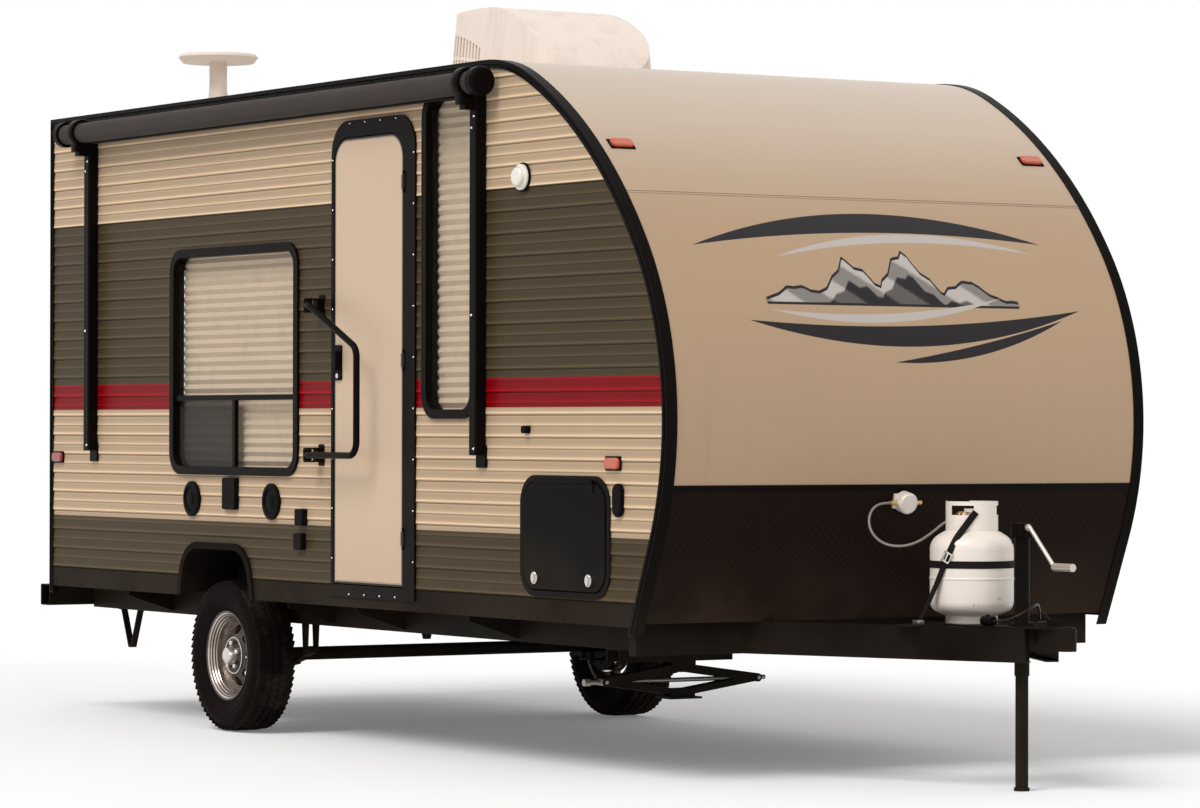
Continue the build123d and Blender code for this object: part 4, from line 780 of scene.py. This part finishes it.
# tyres with grooved tread
tyre = {
    "radius": 0.338,
    "width": 0.205,
    "rim": 0.1905,
    "groove": 0.0075,
    "blocks": 64,
    "bead": 0.076,
    "skew": 0.35,
    "ribs": (  # place across, width and shift round the tyre
        (-0.075, 0.027, 0.0), (-0.039, 0.029, 0.5), (0.0, 0.031, 0.0), (0.039, 0.029, 0.5),
        (0.075, 0.027, 0.0),
    ),
}


def treadBlock(width, depth, length):
    shape = block((-length / 2, -width / 2, -depth - 0.006), (length / 2, width / 2, 0))
    top = [e for e in shape.edges if all(v.co.z > -0.0001 for v in e.verts)]
    bmesh.ops.bevel(shape, geom=top, offset=0.0016, segments=1, profile=0.5, affect="EDGES", material=-1)
    return shape


def addTyre(side, sign):
    radius, half, rim = tyre["radius"], tyre["width"] / 2, tyre["rim"]
    base = radius - tyre["groove"]
    bead = tyre["bead"]
    outer = [(rim + 0.002, -bead + 0.0046), (rim + 0.012, -bead + 0.0003), (rim + 0.02, -bead - 0.006),
             (rim + 0.028, -bead - 0.0075), (rim + 0.03, -bead - 0.0105), (rim + 0.055, -half + 0.007),
             (rim + 0.072, -half + 0.0015), (rim + 0.075, -half + 0.003), (rim + 0.086, -half + 0.002),
             (rim + 0.09, -half + 0.0005), (rim + 0.1, -half + 0.002), (radius - 0.034, -half + 0.007),
             (radius - 0.03, -half + 0.011), (radius - 0.018, -half + 0.016), (base - 0.004, -half + 0.026),
             (base, -half + 0.04)]
    profile = outer + [(r, -h) for r, h in reversed(outer)] + [outer[0]]
    shapes = [lathe(profile, 96)]
    count = tyre["blocks"]
    pitch = math.tau * radius / count
    for place, width, shift in tyre["ribs"]:
        crown = radius - 0.0012 - (0.0035 if abs(place) > 0.07 else 0)
        for index in range(count):
            angle = (index + shift) * math.tau / count
            shape = treadBlock(width, tyre["groove"], pitch - 0.0035)
            skew = tyre["skew"] if place > 0 else -tyre["skew"]
            turn = Matrix.Rotation(angle, 4, "Z") @ Matrix.Translation((crown, 0, place))
            lie = Matrix.Rotation(math.pi / 2, 4, "Y") @ Matrix.Rotation(math.pi / 2 + skew, 4, "Z")
            shapes.append(moved(shape, turn @ lie))
    whole = placed(gather(shapes), at(wheel["x"], sign * wheel["out"], wheel["height"]), (0, sign, 0))
    made = finishPiece("tyre" + side, whole, "tyre", "wheel_" + side.lower(), 28)
    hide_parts("tyre_" + side.lower())


wheelTrim = {"nuts": 5, "nutCircle": 0.057, "nutRadius": 0.0115, "nutHeight": 0.02, "nutOut": 0.044,
             "stem": (0.166, 0.0, -0.012)}


def addWheelTrim(side, sign):
    body = "wheel_" + side.lower()
    centre = at(wheel["x"], sign * wheel["out"], wheel["height"])
    nuts = []
    reach = wheelTrim["nutCircle"]
    for index in range(wheelTrim["nuts"]):
        angle = math.radians(360 / wheelTrim["nuts"] * index + 18)
        nut = hexHead(wheelTrim["nutRadius"], wheelTrim["nutHeight"])
        spot = (reach * math.cos(angle), reach * math.sin(angle), wheelTrim["nutOut"])
        bmesh.ops.translate(nut, verts=nut.verts, vec=spot)
        nuts.append(nut)
    cap = lathe([(0, 0.0915), (0.02, 0.0912), (0.026, 0.0895), (0.036, 0.0835), (0.0425, 0.067),
                 (0.0435, 0.052), (0.0425, 0.052), (0.0415, 0.066), (0.035, 0.0825), (0, 0.0895)], 40)
    ring = lathe([(0.0775, 0.0435), (0.084, 0.0435), (0.084, 0.0475), (0.081, 0.0495), (0.0775, 0.0475),
                  (0.0775, 0.0435)], 56)
    stem = lathe([(0, 0.05), (0.004, 0.05), (0.004, 0.062), (0.0055, 0.063), (0.0055, 0.082), (0, 0.084)], 14)
    bmesh.ops.translate(stem, verts=stem.verts, vec=wheelTrim["stem"])
    whole = placed(gather(nuts + [cap, ring, stem]), centre, (0, sign, 0))
    finishPiece("wheelTrim" + side, whole, "bright", body)


for side, sign in (("Right", -1), ("Left", 1)):
    addTyre(side, sign)
    addWheelTrim(side, sign)
print("wheels dressed")


# pleated blinds behind the side windows
blind = {
    # rear, front, bottom, top and side of each window
    "windows": ((1310, 2510, 1163, 2150, -1), (3620, 4020, 1413, 2720, -1), (1310, 2510, 1163, 2150, 1)),
    "gap": 8,
    "pitch": 41,
    "depth": 13,
    "wall": 1098,
    "screen": ((1332, -1119, 1186), (1897, -1117, 1480)),
}


def addBlinds():
    for index, (low, high, bottom, top, side) in enumerate(blind["windows"]):
        gap = blind["gap"]
        low, high, bottom, top = low + gap, high - gap, bottom + gap, top - gap
        folds = 2 * round((top - bottom) / blind["pitch"])
        step = (top - bottom) / folds
        shape = bmesh.new()
        zig = []
        for i in range(folds + 1):
            out = blind["wall"] - 3 - blind["depth"] * (i % 2)
            zig.append(at(low, side * out, bottom + i * step))
        drawAcross(shape, zig, (high - low) / 1000)
        bmesh.ops.subdivide_edges(shape, edges=longEdges(shape, 0.1), cuts=6, use_grid_fill=True)
        bmesh.ops.recalc_face_normals(shape, faces=shape.faces)
        if sum(f.normal.y * side for f in shape.faces) < 0:
            bmesh.ops.reverse_faces(shape, faces=shape.faces)
        cloth = finishPiece("blind" + "ABC"[index], shape, "blind", smooth=10)
        slope = math.hypot(step, blind["depth"])
        flat = ((high - low) / 1000, folds * slope / 1000)
    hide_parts("blinds")
    pane = block(*[at(*corner) for corner in blind["screen"]])
    finishPiece("windowScreen", pane, "screen")


addBlinds()
print("blinds hung")


# awning cloth wound on its roll
awning = {
    "rear": 345.4,
    "front": 4169.6,
    "centre": -1221,
    "height": 2745,
    "radius": 45.4,
    "turns": 1.12,
    "steps": 56,
    "swell": 2.2,
    "arms": (492, 4085),
    "boltOut": -1193,
    "bolts": ((1276, 12), (1813, -8), (2566, -8), (2612, 12)),  # height and shift along the wall
}


def addAwning():
    shape = bmesh.new()
    steps = awning["steps"]
    points = []
    for i in range(steps + 1):
        angle = math.radians(-60) + math.tau * awning["turns"] * i / steps
        radius = awning["radius"] + awning["swell"] * i / steps
        points.append(at(awning["rear"], awning["centre"] + radius * math.cos(angle),
                         awning["height"] + radius * math.sin(angle)))
    length = (awning["front"] - awning["rear"]) / 1000
    drawAcross(shape, points, length)
    bmesh.ops.subdivide_edges(shape, edges=longEdges(shape, 1), cuts=46, use_grid_fill=True)
    middle = at(0, awning["centre"], awning["height"])
    for v in shape.verts:
        off = Vector((0, v.co.y - middle.y, v.co.z - middle.z))
        angle = math.atan2(off.z, off.y)
        ripple = math.sin(v.co.x * 9 + angle * 2) * 0.0006 + math.sin(v.co.x * 23 + angle) * 0.0004
        v.co += off.normalized() * ripple
    faceOut(shape, middle)
    cloth = finishPiece("awningCloth", shape, "awning", smooth=60)
    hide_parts("awning_roll")
    parts = []
    bar = bmesh.new()
    bmesh.ops.create_cone(bar, cap_ends=True, segments=16, radius1=0.006, radius2=0.006, depth=length)
    parts.append(placed(bar, at((awning["rear"] + awning["front"]) / 2, awning["centre"] + 14,
                                awning["height"] - 52), (1, 0, 0)))
    for x in awning["arms"]:
        ring = lathe([(0.0495, -0.028), (0.061, -0.028), (0.0635, -0.024), (0.0635, 0.024), (0.061, 0.028),
                      (0.0495, 0.028), (0.0495, -0.028)], 40)
        parts.append(placed(ring, at(x, awning["centre"], awning["height"]), (1, 0, 0)))
        parts.append(block(at(x - 26, -1262, 2655), at(x + 26, -1190, 2712), 0.006))
    finishPiece("awningHeads", gather(parts), "trim")
    bolts = []
    for x in awning["arms"]:
        for z, shift in awning["bolts"]:
            bolts.append((at(x + shift, awning["boltOut"], z), (0, -1, 0)))
    scatter("awningBolts", lambda: dome(0.006, 0.004), bolts, "bright")


addAwning()
print("awning rolled")


# trim insert and screws along the body's edges
trim = {
    "bottom": 575,
    "insertInset": 13,
    "insertOut": 1147.5,
    "insertRadius": 0.0045,
    "screwInset": 23,
    "screwOut": 1147,
    "screwPitch": 180,
    "skirtOut": 1143,
    "skirtHeight": 612,
    "skirtScrews": (150, 190, 26),  # first place, pitch and count
    "clear": ((2820, 3556), (1400, 2090)),  # the door's and the wheel's places, without screws
}


def edgeLine(inset, step=4):
    points = [(inset, trim["bottom"])]
    for i in range(12):
        points.append((inset + (nose["start"] - inset) * i / 12, nose["roof"] - inset))
    turn = 0
    while turn <= nose["end"]:
        x, z, way = nosePoint(turn)
        points.append((x - way.x * inset, z - way.z * inset))
        turn += step
    x, z, way = noseFoot(trim["bottom"])
    points.append((x - way.x * inset, trim["bottom"]))
    return points


def addTrim():
    for side, sign in (("Right", -1), ("Left", 1)):
        points = [at(x, sign * trim["insertOut"], z) for x, z in edgeLine(trim["insertInset"])]
        tubeLine("trimInsert" + side, "POLY", points, trim["insertRadius"], 2, "plastic")
    screws = []
    first, pitch, count = trim["skirtScrews"]
    for sign in (-1, 1):
        rows = edgeLine(trim["screwInset"])
        for (x0, z0), (x1, z1) in zip(rows, rows[1:]):
            steps = max(1, round(math.hypot(x1 - x0, z1 - z0) / trim["screwPitch"]))
            for i in range(steps):
                share = (i + 0.5) / steps
                place = at(x0 + (x1 - x0) * share, sign * trim["screwOut"], z0 + (z1 - z0) * share)
                screws.append((place, (0, sign, 0)))
        for i in range(count):
            x = first + i * pitch
            if not any(low < x < high for low, high in trim["clear"]):
                screws.append((at(x, sign * trim["skirtOut"], trim["skirtHeight"]), (0, sign, 0)))
    scatter("trimScrews", lambda: dome(0.0045, 0.0022), screws, "plastic")


addTrim()
print("trim finished")


# front panels: seam strips
seams = {  # height, thickness and finish
    "capSeam": (2273, 0.0022, "nose"),
    "lowerSeam": (1133, 0.0032, "trim"),
}
seamHalf = (1.098, 0.011)


def noseTurn(height):  # how far the nose has turned down at a height
    low, high = 0.0, nose["end"]
    for _ in range(30):
        middle = (low + high) / 2
        if nosePoint(middle)[1] > height:
            low = middle
        else:
            high = middle
    return low


def onNose(shape, turn, y):
    x, z, way = nosePoint(turn)
    across = Vector((0, 1, 0))
    return moved(shape, stand(at(x, y, z), across, way.cross(across), way))


def addNose():
    half, wide = seamHalf
    for name, (height, thick, finish) in seams.items():
        strip = onNose(block((-half, -wide, -0.001), (half, wide, thick), 0.001, 2), noseTurn(height), 0)
        finishPiece(name, strip, finish)


addNose()


# bases behind the lamps' lenses, and the bolts of the jack
lampBase = {
    "half": (0.056, 0.028),
    "bevel": 0.0025,
    "side": ((94, 1217), (5072, 1225)),  # place along the wall and height
    "sideOut": 1142,
    "noseTurn": 41,
    "noseOut": 1000,
    "porch": (4398, -1143, 2354),
}


def addLamps():
    shapes = []
    half, wide = lampBase["half"]
    for x, z in lampBase["side"]:
        for sign in (-1, 1):
            base = block((-half, -wide, 0), (half, wide, 0.006), lampBase["bevel"])
            moved(base, stand(at(x, sign * lampBase["sideOut"], z), (1, 0, 0), (0, 0, 1), (0, sign, 0)))
            bmesh.ops.recalc_face_normals(base, faces=base.faces)
            shapes.append(base)
    for y in (-lampBase["noseOut"], lampBase["noseOut"]):
        base = block((-half, -wide, -0.002), (half, wide, 0.005), lampBase["bevel"])
        shapes.append(onNose(base, lampBase["noseTurn"], y))
    ring = lathe([(0.047, 0), (0.058, 0), (0.058, 0.005), (0.054, 0.008), (0.047, 0.008), (0.047, 0)], 40)
    shapes.append(placed(ring, at(*lampBase["porch"]), (0, -1, 0)))
    finishPiece("lampBases", gather(shapes), "plastic")


jackHead = {
    "x": 6140,
    "half": 32.5,
    "bolts": ((-14, 961), (14, 961), (-14, 934), (14, 934)),
    "plateHeight": 627.6,
    "plateCircle": 46,
}


def addJackBolts():
    bolts = []
    for y, z in jackHead["bolts"]:
        bolts.append((at(jackHead["x"] + jackHead["half"], y, z), (1, 0, 0)))
        bolts.append((at(jackHead["x"] + y, -jackHead["half"], z), (0, -1, 0)))
    reach = jackHead["plateCircle"]
    for turn in range(4):
        angle = math.radians(45 + turn * 90)
        place = at(jackHead["x"] + reach * math.cos(angle), reach * math.sin(angle), jackHead["plateHeight"])
        bolts.append((place, (0, 0, 1)))
    scatter("jackBolts", lambda: hexHead(0.005, 0.003), bolts, "framePaint")


addLamps()
addJackBolts()
print("nose and lamps finished")


# gas bottle: seam, valve, handwheel and strap
bottle = {
    "x": 5827,
    "radius": 160,
    "seam": 790,
    "shoulder": 964,
    "knobRise": 90,
    "nut": (58, 62),
    "valveRise": 24,
    "strapWidth": 0.026,
    "strap": (  # turn round the bottle in degrees, height and distance from its axis
        (-28, 1044, 104), (-40, 1016, 106), (-52, 985, 112), (-60, 950, 142), (-66, 905, 162.5),
        (-71, 873, 163.5), (-77, 840, 166), (-83, 800, 170), (-89, 745, 184), (-93, 690, 204),
        (-96, 640, 226), (-97, 622, 233),
    ),
    "buckleAt": 5,
    "buckle": (
        ((-0.019, -0.021, 0), (0.019, -0.014, 0.009)),
        ((-0.019, 0.014, 0), (0.019, 0.021, 0.009)),
        ((-0.019, -0.018, 0.002), (-0.013, 0.018, 0.007)),
        ((0.013, -0.018, 0.002), (0.019, 0.018, 0.007)),
        ((-0.004, -0.016, 0.004), (0.004, 0.016, 0.011)),
    ),
}


def addBottle():
    x, radius, shoulder = bottle["x"], bottle["radius"] / 1000, bottle["shoulder"]
    seam = lathe([(radius - 0.001, -0.007), (radius + 0.0016, -0.004), (radius + 0.0022, 0),
                  (radius + 0.0016, 0.004), (radius - 0.001, 0.007)], 64)
    finishPiece("bottleSeam", placed(seam, at(x, 0, bottle["seam"])), "bottle")
    knob = lathe([(0, 0.0), (0.026, 0.0), (0.031, 0.004), (0.031, 0.014), (0.026, 0.02), (0.012, 0.022),
                  (0, 0.022)], 24)
    for v in knob.verts:
        reach = math.hypot(v.co.x, v.co.y)
        if reach > 0.025:
            share = 1 + 0.05 * math.cos(8 * math.atan2(v.co.y, v.co.x))
            v.co.x *= share
            v.co.y *= share
    placed(knob, at(x, 0, shoulder + bottle["knobRise"]))
    finishPiece("valveKnob", knob, "plastic")
    nut = hexHead(0.019, 0.024)
    back, rise = bottle["nut"]
    placed(nut, at(x - back, 0, shoulder + rise), (-1, 0, 0))
    body = lathe([(0, 0), (0.017, 0), (0.017, 0.03), (0.0135, 0.036), (0.0135, 0.07), (0, 0.07)], 24)
    placed(body, at(x, 0, shoulder + bottle["valveRise"]))
    finishPiece("valveBrass", gather([nut, body]), "brass")


def addStrap():  # webbing that holds the bottle down, with its buckle
    shape = bmesh.new()
    middle = at(bottle["x"], 0, 0)
    points = []
    for turn, height, reach in bottle["strap"]:
        angle = math.radians(turn)
        out = Vector((math.cos(angle), math.sin(angle), 0))
        points.append((middle + out * reach / 1000 + Vector((0, 0, height / 1000)), out))
    rows = []
    for index, (point, out) in enumerate(points):
        before, after = points[max(index - 1, 0)][0], points[min(index + 1, len(points) - 1)][0]
        side = (after - before).normalized().cross(out).normalized() * bottle["strapWidth"] / 2
        rows.append([shape.verts.new(point - side), shape.verts.new(point + side)])
    for first, second in zip(rows, rows[1:]):
        shape.faces.new((first[0], first[1], second[1], second[0]))
    faceOut(shape, middle)
    bmesh.ops.subdivide_edges(shape, edges=shape.edges[:], cuts=2, smooth=0.6, use_grid_fill=True)
    bmesh.ops.solidify(shape, geom=shape.faces[:], thickness=0.002)
    finishPiece("bottleWebbing", shape, "webbing")
    index = bottle["buckleAt"]
    point, out = points[index]
    along = (points[index + 1][0] - points[index - 1][0]).normalized()
    side = along.cross(out).normalized()
    out = side.cross(along)
    whole = gather([block(low, high, 0.0015) for low, high in bottle["buckle"]])
    finishPiece("bottleBuckle", moved(whole, stand(point, side, along, out)), "bright")
    end = points[-1][0]
    hook = block(end - Vector((0.02, 0.016, 0.004)), end + Vector((0.02, 0.016, 0.012)), 0.004)
    finishPiece("bottleHook", hook, "zinc")


addBottle()
addStrap()


# screws of the roof unit and the door
roofUnit = {"screws": (2480, 2734, 2990), "out": 316.3, "height": 2875}
doorFrame = {"edges": (2838, 3534, 655, 2648), "out": -1151, "corner": 150, "tall": 9, "wide": 4,
             "lock": (2894, -1157, 1580)}


def addRoofUnit():
    screws = []
    for x in roofUnit["screws"]:
        for sign in (-1, 1):
            screws.append((at(x, sign * roofUnit["out"], roofUnit["height"]), (0, sign, 0)))
    scatter("roofUnitScrews", lambda: dome(0.007, 0.004), screws, "bright")


def spaced(low, high, count):
    corner = doorFrame["corner"]
    return [low + corner + i * (high - low - 2 * corner) / (count - 1) for i in range(count)]


def addDoor():
    low, high, bottom, top = doorFrame["edges"]
    places = [(x, z) for z in spaced(bottom, top, doorFrame["tall"]) for x in (low, high)]
    places += [(x, z) for x in spaced(low, high, doorFrame["wide"]) for z in (top, bottom)]
    screws = [(at(x, doorFrame["out"], z), (0, -1, 0)) for x, z in places]
    scatter("doorScrews", lambda: dome(0.004, 0.002), screws, "bright")
    lock = lathe([(0, 0), (0.011, 0), (0.011, 0.003), (0.008, 0.004), (0, 0.004)], 20)
    placed(lock, at(*doorFrame["lock"]), (0, -1, 0))
    finishPiece("doorLock", lock, "bright", "door")


addRoofUnit()
addDoor()
print("bottle, roof unit and door finished")


# floor, sky and lamps
seenBy = ("Is Camera Ray", "Is Glossy Ray", "Is Transmission Ray")


def addStage():
    floor = bmesh.new()
    bmesh.ops.create_grid(floor, x_segments=1, y_segments=1, size=90)
    mesh = bpy.data.meshes.new("floor")
    floor.to_mesh(mesh)
    floor.free()
    ground = bpy.data.objects.new("floor", mesh)
    ground.location.z = -0.001
    bpy.context.scene.collection.objects.link(ground)
    finish = Finish("paleFloor", Roughness=0.9, Specular_IOR_Level=0.1, Emission_Strength=1.0)
    camera, glossy, through = [finish.node("LightPath", {}, {}, way) for way in seenBy]
    shown = finish.maths("MINIMUM", camera + glossy + through, 1)
    cloud = finish.noise(0.4, 2)
    finish.feed("Base Color", finish.scaled(light["floor"], 0.99 + cloud * 0.02))
    glow = light["floorGlow"]
    finish.feed("Emission Color", finish.scaled((glow, glow, glow), shown))
    mesh.materials.append(finish.material)
    world = bpy.data.worlds.new("sky")
    bpy.context.scene.world = world
    world.use_nodes = True
    tree = world.node_tree
    back = tree.nodes["Background"]
    path = tree.nodes.new("ShaderNodeLightPath")
    strength = tree.nodes.new("ShaderNodeMapRange")
    seen = path.outputs[seenBy[0]]
    for way in seenBy[1:]:
        most = tree.nodes.new("ShaderNodeMath")
        most.operation = "MAXIMUM"
        tree.links.new(seen, most.inputs[0])
        tree.links.new(path.outputs[way], most.inputs[1])
        seen = most.outputs[0]
    tree.links.new(seen, strength.inputs["Value"])
    strength.inputs["To Min"].default_value = light["sky"]
    strength.inputs["To Max"].default_value = 1.0
    tree.links.new(strength.outputs[0], back.inputs["Strength"])
    back.inputs["Color"].default_value = (1, 1, 1, 1)
    for name, power, way in (("key", light["keyStrength"], light["keyFrom"]),
                             ("front", light["noseStrength"], light["noseFrom"])):
        lamp = bpy.data.lights.new(name, "SUN")
        lamp.energy = power
        lamp.angle = math.radians(light["softness"])
        holder = bpy.data.objects.new(name, lamp)
        holder.rotation_euler = Vector(way).to_track_quat("Z", "Y").to_euler()
        bpy.context.scene.collection.objects.link(holder)
    bpy.context.scene.view_settings.view_transform = "Standard"


addStage()
print("stage set")
